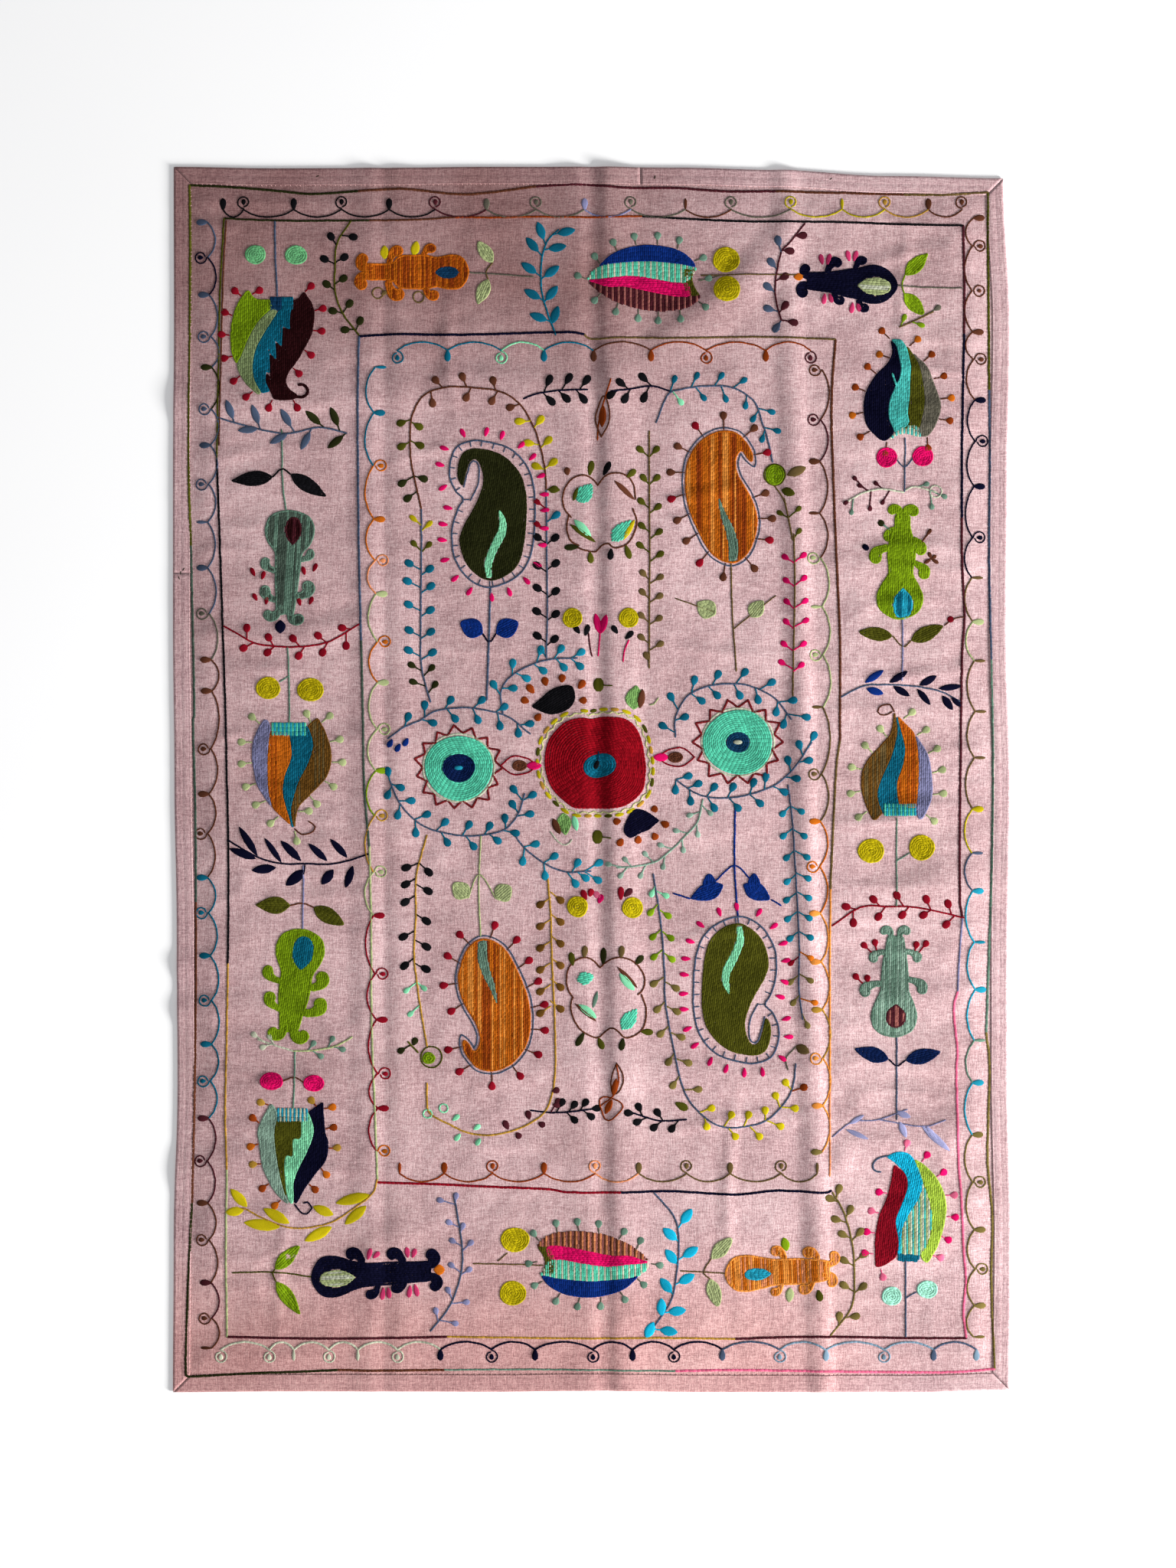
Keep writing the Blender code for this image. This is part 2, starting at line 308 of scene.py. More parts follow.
# the cotton's clouds of tone: share of the depth, noise scale, detail, roughness
COTTON_CLOUDS = [
    (0.34, (380.0, 380.0, 380.0), 2.0, 0.7),
    (0.20, (90.0, 240.0, 90.0), 2.0, 0.7),
    (0.16, (7.0, 7.0, 7.0), 3.0, 0.55)]
YARN_SHARE = 0.24
# the cotton's tints at both ends of its "tone" attribute: painted shade at 0, painted light at 1, with random
# tone between
PAINTED_SHADE_TINT = (0.44, 0.36, 0.345, 1.0)
PAINTED_LIGHT_TINT = (1.13, 1.18, 1.19, 1.0)
FLUSH = (1.14, 0.98, 0.93, 1.0)
WEAVE_SCALE = 210.0


def linear(srgb):
    return tuple(((c / 255 + 0.055) / 1.055) ** 2.4 if c > 10 else c / 255 / 12.92 for c in srgb)


class Surface:
    """Nodes of one material round a Principled shader."""

    def __init__(self, name):
        self.material = bpy.data.materials.new(name)
        self.material.use_nodes = True
        self.tree = self.material.node_tree
        self.tree.nodes.clear()
        out = self.tree.nodes.new("ShaderNodeOutputMaterial")
        self.shader = self.tree.nodes.new("ShaderNodeBsdfPrincipled")
        self.tree.links.new(self.shader.outputs[0], out.inputs["Surface"])
        self.where = self.tree.nodes.new("ShaderNodeTexCoord").outputs["Object"]

    def put(self, value, socket):
        if isinstance(value, bpy.types.NodeSocket):
            self.tree.links.new(value, socket)
        else:
            socket.default_value = value

    def finish(self, roughness, specular=None):
        self.put(roughness, self.shader.inputs["Roughness"])
        if specular is not None:
            self.put(specular, self.shader.inputs["Specular IOR Level"])
        return self.material

    def noise(self, scale, detail=2.0, rough=0.5):
        spread = self.tree.nodes.new("ShaderNodeMapping")
        self.put(self.where, spread.inputs["Vector"])
        spread.inputs["Scale"].default_value = scale
        made = self.tree.nodes.new("ShaderNodeTexNoise")
        self.put(spread.outputs[0], made.inputs["Vector"])
        made.inputs["Scale"].default_value = 1.0
        made.inputs["Detail"].default_value = detail
        made.inputs["Roughness"].default_value = rough
        return made.outputs["Fac"]

    def wave(self, direction, scale, distortion):
        made = self.tree.nodes.new("ShaderNodeTexWave")
        made.bands_direction = direction
        self.put(self.where, made.inputs["Vector"])
        made.inputs["Scale"].default_value = scale
        made.inputs["Distortion"].default_value = distortion
        made.inputs["Detail"].default_value = 2.0
        made.inputs["Detail Scale"].default_value = 1.5
        return made.outputs["Fac"]

    def place(self, axis):
        split = self.tree.nodes.new("ShaderNodeSeparateXYZ")
        self.put(self.where, split.inputs[0])
        return split.outputs[axis]

    def math(self, kind, first, second):
        made = self.tree.nodes.new("ShaderNodeMath")
        made.operation = kind
        self.put(first, made.inputs[0])
        self.put(second, made.inputs[1])
        return made.outputs[0]

    def add(self, first, second):
        return self.math("ADD", first, second)

    def times(self, first, second):
        return self.math("MULTIPLY", first, second)

    def span(self, value, low, high):
        """value stretched so that low gives 0 and high gives 1."""
        made = self.tree.nodes.new("ShaderNodeMapRange")
        self.put(value, made.inputs["Value"])
        made.inputs["From Min"].default_value = low
        made.inputs["From Max"].default_value = high
        return made.outputs["Result"]

    def mix(self, share, first, second, kind="MIX"):
        made = self.tree.nodes.new("ShaderNodeMix")
        made.data_type = "RGBA"
        made.blend_type = kind
        self.put(share, made.inputs[0])
        self.put(first, made.inputs[6])
        self.put(second, made.inputs[7])
        return made.outputs[2]

    def tint(self, first, second):
        return self.mix(1.0, first, second, "MULTIPLY")

    def attribute(self, name):
        made = self.tree.nodes.new("ShaderNodeAttribute")
        made.attribute_name = name
        return made.outputs["Fac"]

    def bump(self, height, distance, under=None):
        made = self.tree.nodes.new("ShaderNodeBump")
        made.inputs["Strength"].default_value = 1.0
        made.inputs["Distance"].default_value = distance
        self.put(height, made.inputs["Height"])
        if under is not None:
            self.put(under, made.inputs["Normal"])
        return made.outputs[0]


def cotton(name, base, dark, light):
    """Plain-woven cotton with uneven yarns, dyed pale pink, with painted shade and light from its "tone"
    attribute.
    """
    made = Surface(name)
    weft = made.noise((70.0, 520.0, 70.0), 3.0, 0.6)
    warp = made.noise((520.0, 70.0, 70.0), 3.0, 0.6)
    depth_of_tone = made.times(made.add(made.span(weft, 0.34, 0.70), made.span(warp, 0.36, 0.74)), YARN_SHARE)
    for share, scale, detail, rough in COTTON_CLOUDS:
        cloud = made.span(made.noise(scale, detail, rough), 0.3, 0.7)
        depth_of_tone = made.add(depth_of_tone, made.times(cloud, share))
    tone = made.mix(made.span(depth_of_tone, 0.19, 0.57), (*dark, 1.0), (*base, 1.0))
    tone = made.mix(made.span(depth_of_tone, 0.51, 0.89), tone, (*light, 1.0))
    # painted shade and light: the "tone" attribute darkens the cotton towards the top left and lightens it to
    # the right, besides random tone
    shade_tint = made.mix(made.attribute("tone"), PAINTED_SHADE_TINT, PAINTED_LIGHT_TINT)
    low = made.span(made.place("Y"), -0.80, -1.0)
    left = made.span(made.place("X"), 0.60, 0.30)
    flush = made.mix(made.times(low, left), WHITE, FLUSH)
    made.put(made.tint(made.tint(tone, shade_tint), flush), made.shader.inputs["Base Color"])
    weave = made.add(made.wave("X", WEAVE_SCALE, 0.6), made.wave("Y", WEAVE_SCALE, 0.6))
    fine = made.bump(weave, 0.12 * MM)
    made.put(made.bump(made.add(weft, warp), 0.6 * MM, fine), made.shader.inputs["Normal"])
    return made.finish(0.92, 0.10)


def wool(name, srgb):
    """Dyed wool thread: tone changes from stitch to stitch and along the work."""
    base = linear(srgb)
    dark = tuple(0.62 * c for c in base)
    light = tuple(min(1.0, 1.34 * c + 0.002) for c in base)
    made = Surface(name)
    dye = made.noise((26.0, 26.0, 26.0), 3.0, 0.6)
    fibre = made.noise((900.0, 900.0, 900.0), 2.0, 0.6)
    share = made.add(made.times(made.attribute("tone"), 0.62), made.times(made.span(dye, 0.3, 0.7), 0.38))
    made.put(made.mix(share, (*dark, 1.0), (*light, 1.0)), made.shader.inputs["Base Color"])
    made.put(made.bump(fibre, 0.4 * MM), made.shader.inputs["Normal"])
    return made.finish(0.88, 0.05)


GROUND = cotton("ground_cotton", (0.61, 0.39, 0.40), (0.35, 0.20, 0.21), (0.82, 0.60, 0.60))
BINDING = cotton("binding_cotton", (0.60, 0.385, 0.40), (0.35, 0.20, 0.215), (0.78, 0.56, 0.56))


# ---------------------------------------------------------------- meshes
def link_object(name, data):
    made = bpy.data.objects.new(name, data)
    bpy.context.scene.collection.objects.link(made)
    return made


def add_mesh(name, points, faces, material, tone):
    """faces is a list of arrays, each of faces with the same number of corners."""
    mesh = bpy.data.meshes.new(name)
    mesh.vertices.add(len(points))
    mesh.vertices.foreach_set("co", np.asarray(points, np.float32).ravel())
    corners = np.concatenate([f.ravel() for f in faces]).astype(np.int32)
    counts = np.concatenate([np.full(len(f), f.shape[1]) for f in faces]).astype(np.int32)
    starts = np.concatenate([[0], np.cumsum(counts)[:-1]]).astype(np.int32)
    mesh.loops.add(len(corners))
    mesh.loops.foreach_set("vertex_index", corners)
    mesh.polygons.add(len(counts))
    mesh.polygons.foreach_set("loop_start", starts)
    mesh.polygons.foreach_set("use_smooth", np.full(len(counts), True))
    layer = mesh.attributes.new("tone", "FLOAT", "POINT")
    layer.data.foreach_set("value", np.asarray(tone, np.float32))
    uv = mesh.uv_layers.new(name="OFBake")
    share = np.asarray(points)[corners][:, :2] / (WIDTH, LENGTH) + 0.5
    uv.data.foreach_set("uv", np.clip(share, 0.0, 1.0).astype(np.float32).ravel())
    mesh.update()
    mesh.validate()
    mesh.materials.append(material)
    return link_object(name, mesh)


def painted_shade_tone(x, y):
    """How light the cotton's tone is at a point, from 0 to 1: painted shade makes it darker along the top,
    left of the middle, and lighter to the right; it is also darker along the bottom edge, and random clouds
    vary it.
    """
    top = ramp(y, 0.64, 0.24) * np.clip(1.0 - (x - 0.04) / 0.34, 0.12, 1.0)
    drift = 0.67 + 0.13 * x / (WIDTH / 2) - 0.58 * top - 0.11 * ramp(y, -0.88, -0.08)
    cloud = value_noise(x, y, 0.21, 0.17, 61) + 0.6 * value_noise(x, y, 0.07, 0.06, 62) - 0.8
    return np.clip(drift + 0.24 * cloud, 0.0, 1.0)


def make_cloth():
    """The ground cloth: a fine top layer in its folds, and a coarse underside."""
    upper = np.stack([GRID_X, GRID_Y, GRID_TOP], -1)
    lower = (upper - (0.0, 0.0, CLOTH_THICK))[::COARSE, ::COARSE]
    index = np.arange(upper[..., 0].size).reshape(upper.shape[:2])
    under = np.arange(lower[..., 0].size).reshape(lower.shape[:2]) + index.size
    face_up = np.stack([index[:-1, :-1], index[:-1, 1:], index[1:, 1:], index[1:, :-1]], -1)
    face_down = np.stack([under[:-1, :-1], under[1:, :-1], under[1:, 1:], under[:-1, 1:]], -1)
    walls = []
    for fine, coarse in ((index[0], under[0]), (index[:, -1], under[:, -1]),
                         (index[-1][::-1], under[-1][::-1]), (index[:, 0][::-1], under[:, 0][::-1])):
        for k in range(len(coarse) - 1):
            walls.append([coarse[k], coarse[k + 1], *fine[COARSE * k:COARSE * (k + 1) + 1][::-1]])
    faces = [face_up.reshape(-1, 4), face_down.reshape(-1, 4), np.array(walls)]
    points = np.vstack([upper.reshape(-1, 3), lower.reshape(-1, 3)])
    # the cloth's "tone" attribute carries painted shade, darker to the top left and lighter to the right, and
    # random tone
    return add_mesh("cloth", points, faces, GROUND, painted_shade_tone(points[:, 0], points[:, 1]))


# section of the folded binding, from its inner edge over the fold and back: inset and height, mm
SECTION = [
    (30.8, 2.75), (30.6, 3.35), (29.8, 3.78), (28.6, 3.86), (27.4, 3.60), (26.2, 3.84), (21.0, 3.80),
    (16.0, 3.88), (14.8, 3.66), (13.6, 3.86), (9.0, 3.84), (6.4, 3.70), (5.2, 3.88), (3.0, 3.74),
    (1.3, 3.30), (0.3, 2.55), (0.0, 1.90), (0.3, 1.20), (1.3, 0.45), (3.2, 0.02), (16.0, 0.0),
    (26.0, 0.0), (26.0, 1.0), (16.0, 1.0), (3.6, 1.0), (2.0, 1.35), (1.2, 1.90), (2.0, 2.45),
    (3.6, 2.8), (16.0, 2.8), (30.6, 2.75)]
STRIP_STEP = 7.0 * MM
FACE_FROM = 3.0 * MM
FACE_RUN = 0.8 * MM
RIPPLE = 0.35 * MM

# the binding's strips: node, edge, and where it starts and ends, None at a mitred corner
STRIPS = [
    ("binding_top_left", "top", None, TOP_JOIN),
    ("binding_top_right", "top", TOP_JOIN, None),
    ("binding_right", "right", None, None),
    ("binding_bottom", "bottom", None, None),
    ("binding_left_lower", "left", None, LEFT_JOIN),
    ("binding_left_upper", "left", LEFT_JOIN, None)]
EDGE_RUN = {"top": WIDTH, "right": LENGTH, "bottom": WIDTH, "left": LENGTH}


def edge_plan(side, along, inset):
    """World x and y of a point on a strip, along it from its first corner."""
    if side == "top":
        return plan_point(along, LENGTH - inset)
    if side == "right":
        return plan_point(WIDTH - inset, LENGTH - along)
    if side == "bottom":
        return plan_point(WIDTH - along, inset)
    return plan_point(inset, along)


def make_strip(name, side, start, end, seed):
    inset, height = np.transpose(SECTION) * MM
    first = inset + GAP if start is None else np.full(len(inset), start + GAP / 2)
    last = EDGE_RUN[side] - inset - GAP if end is None else np.full(len(inset), end - GAP / 2)
    count = int((last.max() - first.min()) / STRIP_STEP) + 1
    t = np.linspace(0.0, 1.0, count)[:, None]
    along = first[None] * (1 - t) + last[None] * t
    spread = np.broadcast_to(inset[None], along.shape)
    x, y = edge_plan(side, along, spread)
    wide = value_noise(along, spread, 0.024, 0.012, seed)
    small = value_noise(along, spread, 0.090, 0.02, seed + 1)
    rippled = ramp(height, FACE_FROM, FACE_RUN)[None]
    z = fold_height(x, y) + height[None] + rippled * (wide + 0.6 * small) * RIPPLE
    points = np.stack([x, y, z], -1).reshape(-1, 3)
    index = np.arange(along.size).reshape(along.shape)
    after = np.roll(index, -1, 1)
    sides = np.stack([index[:-1], after[:-1], after[1:], index[1:]], -1).reshape(-1, 4)
    caps = np.array([index[0][::-1], index[-1]])
    # the binding's "tone" attribute carries painted shade, darker to the top left and lighter to the right,
    # and random tone
    made = add_mesh(name + "_cotton", points, [sides, caps], BINDING, painted_shade_tone(points[:, 0], points[:, 1]))
    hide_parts(name)
    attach(made, "root")
    return made


# ---------------------------------------------------------------- stitches, in mm from here on
draw = np.random.default_rng(2024)
threads = {}

# one shape is stations along it (place, breadth, rise) and points across it (place, rise)
PLUMP_ACROSS = [(-1.0, 0.0), (-0.66, 0.9), (-0.33, 0.62), (0.0, 1.0), (0.33, 0.62), (0.66, 0.9), (1.0, 0.0)]
SHAPES = {
    "link": ([(0.0, 0.6, 0.5), (0.3, 1.0, 1.0), (0.75, 0.96, 1.0), (1.0, 0.56, 0.55)],
             [(-1.0, 0.0), (-0.55, 1.0), (0.0, 0.55), (0.55, 1.0), (1.0, 0.0)]),
    "petal": ([(0.0, 0.25, 0.5), (0.22, 0.66, 0.9), (0.52, 1.0, 1.0), (0.82, 0.88, 0.9), (1.0, 0.30, 0.3)],
              PLUMP_ACROSS),
    "berry": ([(0.0, 0.40, 0.5), (0.2, 0.84, 0.9), (0.5, 1.0, 1.0), (0.8, 0.86, 0.9), (1.0, 0.42, 0.4)],
              PLUMP_ACROSS),
    "leaflet": ([(0.0, 0.10, 0.4), (0.12, 0.52, 0.9), (0.32, 0.95, 1.0), (0.54, 1.0, 1.0), (0.76, 0.78, 1.0),
                 (0.9, 0.46, 0.8), (1.0, 0.10, 0.3)], PLUMP_ACROSS)}
LINK_LONG = 7.5
LINE_BROAD = 5.0
STEM_BROAD = 3.6
FINE_LONG = 6.0
LOW = 0.9
SWAY = 0.22
LAP = 0.16
ROW = 3.6
ROW_LAP = 1.3
RIM_INSET = 1.7
ROW_SHORTEST = 2.6
PLUMP = 1.22
SLIM_BUD = 14.0
SUNK = 0.06
LEAFLET_BROAD = 21.0


def lay(thread, kind, start, end, broad, high):
    """Adds shapes from start to end points."""
    start = np.atleast_2d(np.asarray(start, float))
    end = np.atleast_2d(np.asarray(end, float))
    step = end - start
    middle = 0.5 * (start + end)
    long = np.hypot(step[:, 0], step[:, 1])
    turn = np.arctan2(step[:, 1], step[:, 0])
    tone = draw.random(len(long))
    rows = np.stack([middle[:, 0], middle[:, 1], turn, long, np.full(len(long), broad / 2),
                     high * (0.85 + 0.3 * tone), tone], -1)
    threads.setdefault(thread, {}).setdefault(kind, []).append(rows)


def unit(way):
    return way / np.maximum(np.hypot(way[..., 0], way[..., 1]), 1e-6)[..., None]


def left_of(way):
    """The same direction turned a quarter to the left."""
    return np.stack([-way[..., 1], way[..., 0]], -1)


def round_way(turn):
    """Points on the unit circle, for turns in radians."""
    return np.stack([np.cos(turn), np.sin(turn)], -1)


def joined(outline):
    """A closed outline with its first point given again at its end."""
    return np.vstack([outline, outline[:1]])


def even(path, step):
    """The same path at even steps."""
    seg = np.hypot(*np.diff(path, axis=0).T)
    run = np.concatenate([[0.0], np.cumsum(seg)])
    count = max(2, int(round(run[-1] / step)) + 1)
    at = np.linspace(0.0, run[-1], count)
    return np.stack([np.interp(at, run, path[:, 0]), np.interp(at, run, path[:, 1])], -1)


def soft(points, closed=False):
    """A smooth path through a few points, at 2 mm steps. A point given twice is a corner."""
    p = np.asarray(points, float)
    if len(p) == 2 and not closed:
        return even(p, 2.0)
    if closed:
        p = np.vstack([p[-1], p, p[0], p[1]])
    else:
        p = np.vstack([2 * p[0] - p[1], p, 2 * p[-1] - p[-2]])
    t = np.linspace(0.0, 1.0, 12, endpoint=False)[:, None]
    parts = []
    for a, b, c, d in zip(p, p[1:], p[2:], p[3:]):
        parts.append(0.5 * (2 * b + (c - a) * t + (2 * a - 5 * b + 4 * c - d) * t ** 2
                            + (3 * b - a - 3 * c + d) * t ** 3))
    parts.append(p[-2][None])
    return even(np.vstack(parts), 2.0)


def chain(thread, path, broad=STEM_BROAD, high=1.1, long=LINK_LONG):
    """A row of chain stitch along a path."""
    points = even(np.asarray(path, float), 1.0)
    total = max(1, int(round((len(points) - 1) / long)))
    at = np.linspace(0, len(points) - 1, total + 1)
    x = np.interp(at, np.arange(len(points)), points[:, 0])
    y = np.interp(at, np.arange(len(points)), points[:, 1])
    knots = np.stack([x, y], -1) + draw.normal(0.0, SWAY, (total + 1, 2))
    lap = LAP * (knots[1:] - knots[:-1])
    lay(thread, "link", knots[:-1] - lap, knots[1:] + lap, broad, high)


def line(thread, points, broad=STEM_BROAD, high=1.1):
    path = soft(points)
    chain(thread, path, broad, high)
    return path


def pieced(*runs):
    """One line worked in several threads, (thread, breadth, points): each goes on where the last one ends."""
    last = []
    for thread, broad, points in runs:
        line(thread, last + points, broad)
        last = points[-1:]


def outlined(thread, points, broad):
    outline = soft(points, closed=True)
    chain(thread, joined(outline), broad)


def is_inside(x, y, outline):
    x0, y0 = outline[:, 0][None], outline[:, 1][None]
    x1, y1 = np.roll(outline[:, 0], -1)[None], np.roll(outline[:, 1], -1)[None]
    px, py = x[:, None], y[:, None]
    spans = (y0 > py) != (y1 > py)
    cut = x0 + (py - y0) * (x1 - x0) / np.where(y1 == y0, 1e-9, y1 - y0)
    return (np.sum(spans & (px < cut), 1) % 2) == 1


def depth(points, outline):
    """How far points are inside an outline; below 0 outside it."""
    x, y = points[:, 0], points[:, 1]
    x0, y0 = outline[:, 0][None], outline[:, 1][None]
    dx = np.roll(outline[:, 0], -1)[None] - x0
    dy = np.roll(outline[:, 1], -1)[None] - y0
    px, py = x[:, None] - x0, y[:, None] - y0
    t = np.clip((px * dx + py * dy) / (dx * dx + dy * dy + 1e-9), 0.0, 1.0)
    near = np.sqrt(np.min((px - t * dx) ** 2 + (py - t * dy) ** 2, 1))
    return np.where(is_inside(x, y, outline), near, -near)


def shifted(outline, distance):
    """A closed outline moved inwards by distance, or outwards if it is below 0."""
    way = unit(np.roll(outline, -3, 0) - np.roll(outline, 3, 0))
    area = np.sum(outline[:, 0] * np.roll(outline[:, 1], -1) - outline[:, 1] * np.roll(outline[:, 0], -1))
    sign = 1.0 if area > 0 else -1.0
    return outline + sign * distance * left_of(way)


def stretches(keep):
    """First and last place, and one past it, of each unbroken run of true values."""
    edges = np.diff(np.concatenate([[0], keep.astype(int), [0]]))
    return zip(np.nonzero(edges == 1)[0], np.nonzero(edges == -1)[0])


def fill(thread, outline, turn=90.0, edge=True, hole=None, high=1.3):
    """Rows of chain stitch inside a closed outline, along a direction in degrees. thread is one name,
    a tuple for rows that take turns, or a list for rows that vary."""
    names = [thread] if isinstance(thread, str) else list(thread)
    turns = isinstance(thread, tuple)
    margin = 2.7 if edge else 0.3
    if edge:
        rim = shifted(outline, RIM_INSET)
        rim = rim[depth(rim, outline) > 0.8]
        if len(rim) > 6:
            chain(names[0], joined(rim), ROW + 0.8, high)
    along = round_way(math.radians(turn))
    side = left_of(along)
    u = outline @ along
    v = outline @ side
    room = v.max() - v.min() - 2 * margin
    count = max(1, int(round(room / ROW)))
    offsets = v.min() + margin + (np.arange(count) + 0.5) * room / count
    reach = np.arange(u.min() - 1.0, u.max() + 1.0, 1.5)
    grid_u, grid_v = np.meshgrid(reach, offsets)
    spot = grid_u.ravel()[:, None] * along + grid_v.ravel()[:, None] * side
    keep = depth(spot, even(joined(outline), 3.0)[:-1]) > margin
    if hole is not None:
        keep &= depth(spot, even(joined(hole), 3.0)[:-1]) < -0.5
    keep = keep.reshape(grid_u.shape)
    for k, offset in enumerate(offsets):
        for first, last in stretches(keep[k]):
            low, top = reach[first] - 0.75, reach[last - 1] + 0.75
            if top - low < ROW_SHORTEST:
                continue
            ends = np.array([low * along + offset * side, top * along + offset * side])
            name = names[k % len(names)] if turns else names[draw.integers(len(names))]
            chain(name, ends, ROW + ROW_LAP, high, LINK_LONG + draw.uniform(-0.8, 0.8))


def shape(thread, points, turn, **ways):
    """A filled form with a smooth outline through the points."""
    fill(thread, soft(points, closed=True), turn, **ways)


def disc(thread, x, y, rx, ry=None, rest=0.0, high=1.4):
    """Rings of chain stitch round a centre, down to a radius where another colour starts."""
    ry = rx if ry is None else ry
    inset = 1.9
    while rx - inset > max(rest, 1.6):
        t = np.linspace(0.0, 2 * math.pi, 60)
        wobble = 1.0 + 0.02 * np.sin(3 * t + x)
        chain(thread, (x, y) + round_way(t) * (rx - inset, ry - inset) * wobble[:, None], ROW + ROW_LAP, high)
        inset += ROW
    if rest == 0.0:
        lay(thread, "berry", (x - 2.4, y), (x + 2.4, y), 4.6, high)


def discs(thread, *places):
    for where in places:
        disc(thread, *where)


def place(points, x, y, turn=0.0, sx=1.0, sy=1.0):
    """Points of a form set down at x, y, turned by degrees and stretched."""
    p = np.asarray(points, float) * (sx, sy)
    c, s = math.cos(math.radians(turn)), math.sin(math.radians(turn))
    return np.stack([x + p[:, 0] * c - p[:, 1] * s, y + p[:, 0] * s + p[:, 1] * c], -1)


def leaf(thread, base, tip, broad, edge=True, high=1.3):
    """A pointed leaf, widest a little below its middle."""
    base, tip = np.asarray(base, float), np.asarray(tip, float)
    if broad <= LEAFLET_BROAD:
        lay(thread, "leaflet", base, tip, broad, high + 0.3)
        return
    way = tip - base
    side = left_of(unit(way)) * broad / 2
    half = ((0.18, 0.72), (0.42, 1.0), (0.7, 0.72))
    right = [base + way * t - side * w for t, w in half]
    left = [base + way * t + side * w for t, w in half[::-1]]
    shape(thread, [base, base, *right, tip, tip, *left], math.degrees(math.atan2(way[1], way[0])),
          edge=edge, high=high)


def leaves(thread, *rows):
    """rows are (base, tip, breadth)."""
    for base, tip, broad in rows:
        leaf(thread, base, tip, broad)


def bud(thread, root, tip, broad, kind="petal"):
    lay(thread, kind, root, tip, min(PLUMP * broad, max(broad, SLIM_BUD)), 1.7)


def buds(thread, broad, *rows):
    """rows are (root x, root y, tip x, tip y)."""
    for x, y, tip_x, tip_y in rows:
        bud(thread, (x, y), (tip_x, tip_y), broad)


def stalked(stem, thread, foot, centre, size, kind="petal"):
    """A bud of size (long, broad) round a centre, on a short stalk from foot."""
    foot, centre = np.asarray(foot, float), np.asarray(centre, float)
    reach = max(np.hypot(*(centre - foot)), 1e-6)
    way = (centre - foot) / reach
    root = centre - way * size[0] / 2
    tip = centre + way * size[0] / 2
    if stem and reach - size[0] / 2 > 3.0:
        chain(stem, np.array([foot, root + way]), 3.0, LOW, FINE_LONG)
    if kind == "leaf":
        leaf(thread, root, tip, size[1])
    else:
        bud(thread, root, tip, size[1], kind)


def sprig(stem, points, groups, lag=12.0, broad=STEM_BROAD):
    """A stem with buds: groups are (thread, size, kind, centres), and a stalk leaves the stem lag before
    its bud."""
    path = line(stem, points, broad)
    lagged = int(round(lag / 2.0))
    for thread, size, kind, centres in groups:
        for centre in centres:
            near = int(np.argmin(np.hypot(path[:, 0] - centre[0], path[:, 1] - centre[1])))
            foot = path[min(max(0, near - lagged), len(path) - 1)]
            stalked(thread, thread, foot, centre, size, kind)


def ring(thread, x, y, radius, broad=3.0):
    path = (x, y) + radius * round_way(np.linspace(0.0, 2 * math.pi, 40))
    chain(thread, path, broad, LOW, FINE_LONG)


# a garland's feet: w a bud, s a slim bud, c a curl with a bud in it, r a ring with a bud in it
GARLAND_OUT = 15.0
GARLAND_BUD = (1.0, 22.0)
GARLAND_GAP = 130.0


def garland_foot(kind, thread, foot, way):
    centre = foot + way * GARLAND_OUT
    if kind in "ws":
        broad, high = (12.0, 1.7) if kind == "w" else (6.0, 1.4)
        lay(thread, "petal", foot + way * GARLAND_BUD[0], foot + way * GARLAND_BUD[1], broad, high)
    elif kind == "c":
        t = np.linspace(-0.5 * math.pi, 1.45 * math.pi, 40)[:, None]
        radius = np.linspace(11.5, 8.5, 40)[:, None]
        chain(thread, centre + radius * (np.cos(t) * left_of(way) + np.sin(t) * way), 2.9, LOW, FINE_LONG)
        lay(thread, "petal", centre - way * 5.0, centre + way * 5.5, 8.5, 1.5)
    else:
        ring(thread, *centre, 10.0)
        bud(thread, centre - way * 4, centre + way * 4, 6.0)


def garland(way, fixed, runs, bulge=12.0, broad=3.2, swing=(0.0, 1.0)):
    """Stem arcs from foot to foot along an edge, whose feet stand the way given. fixed is the edge's own
    x or y, runs are (thread, kinds, places) and swing is (reach, length) of its slow bends."""
    way = np.asarray(way, float)
    feet = []
    for thread, kinds, places in runs:
        for kind, at in zip(kinds, places):
            off = fixed + swing[0] * math.sin(at / swing[1])
            feet.append((kind, thread, np.array([at, off] if way[0] == 0 else [off, at], float)))
    for k, (kind, thread, foot) in enumerate(feet):
        garland_foot(kind, thread, foot, way)
        if k + 1 == len(feet):
            continue
        after = feet[k + 1][2]
        if np.hypot(*(after - foot)) > GARLAND_GAP:
            continue
        half = 0.5 * (foot + after) - way * bulge
        low = foot * 0.8 + after * 0.2 - way * bulge * 0.62
        high = foot * 0.2 + after * 0.8 - way * bulge * 0.62
        line(thread, [foot + way * 2, low, half, high, after + way * 2], broad)


def drops(outline, offset, spacing, thread, size=(15.0, 11.0), stalk=None, avoid=(), start=0.0):
    """Buds that stand off round a closed outline, but not in the rounds (x, y, radius) to avoid."""
    path = even(joined(outline), 2.0)
    names = [thread] if isinstance(thread, str) else thread
    count = int(round(len(path) * 2.0 / spacing))
    normal = unit(shifted(path[:-1], -1.0) - path[:-1])
    for k in range(count):
        at = int((start + k * (len(path) - 1) / count)) % (len(path) - 1)
        way = normal[at]
        lean = left_of(way) * draw.uniform(-0.22, 0.22)
        root = path[at] + (way + lean) * offset
        tip = path[at] + (way + lean) * (offset + size[0])
        middle = 0.5 * (root + tip)
        if any(math.hypot(middle[0] - x, middle[1] - y) < reach for x, y, reach in avoid):
            continue
        if depth(middle[None], outline)[0] > -0.8 * (offset + size[0] / 2):
            continue
        if stalk:
            chain(stalk, np.array([path[at] + way * 2.0, root]), 2.8, LOW, FINE_LONG)
        bud(names[k % len(names)], root, tip, size[1])


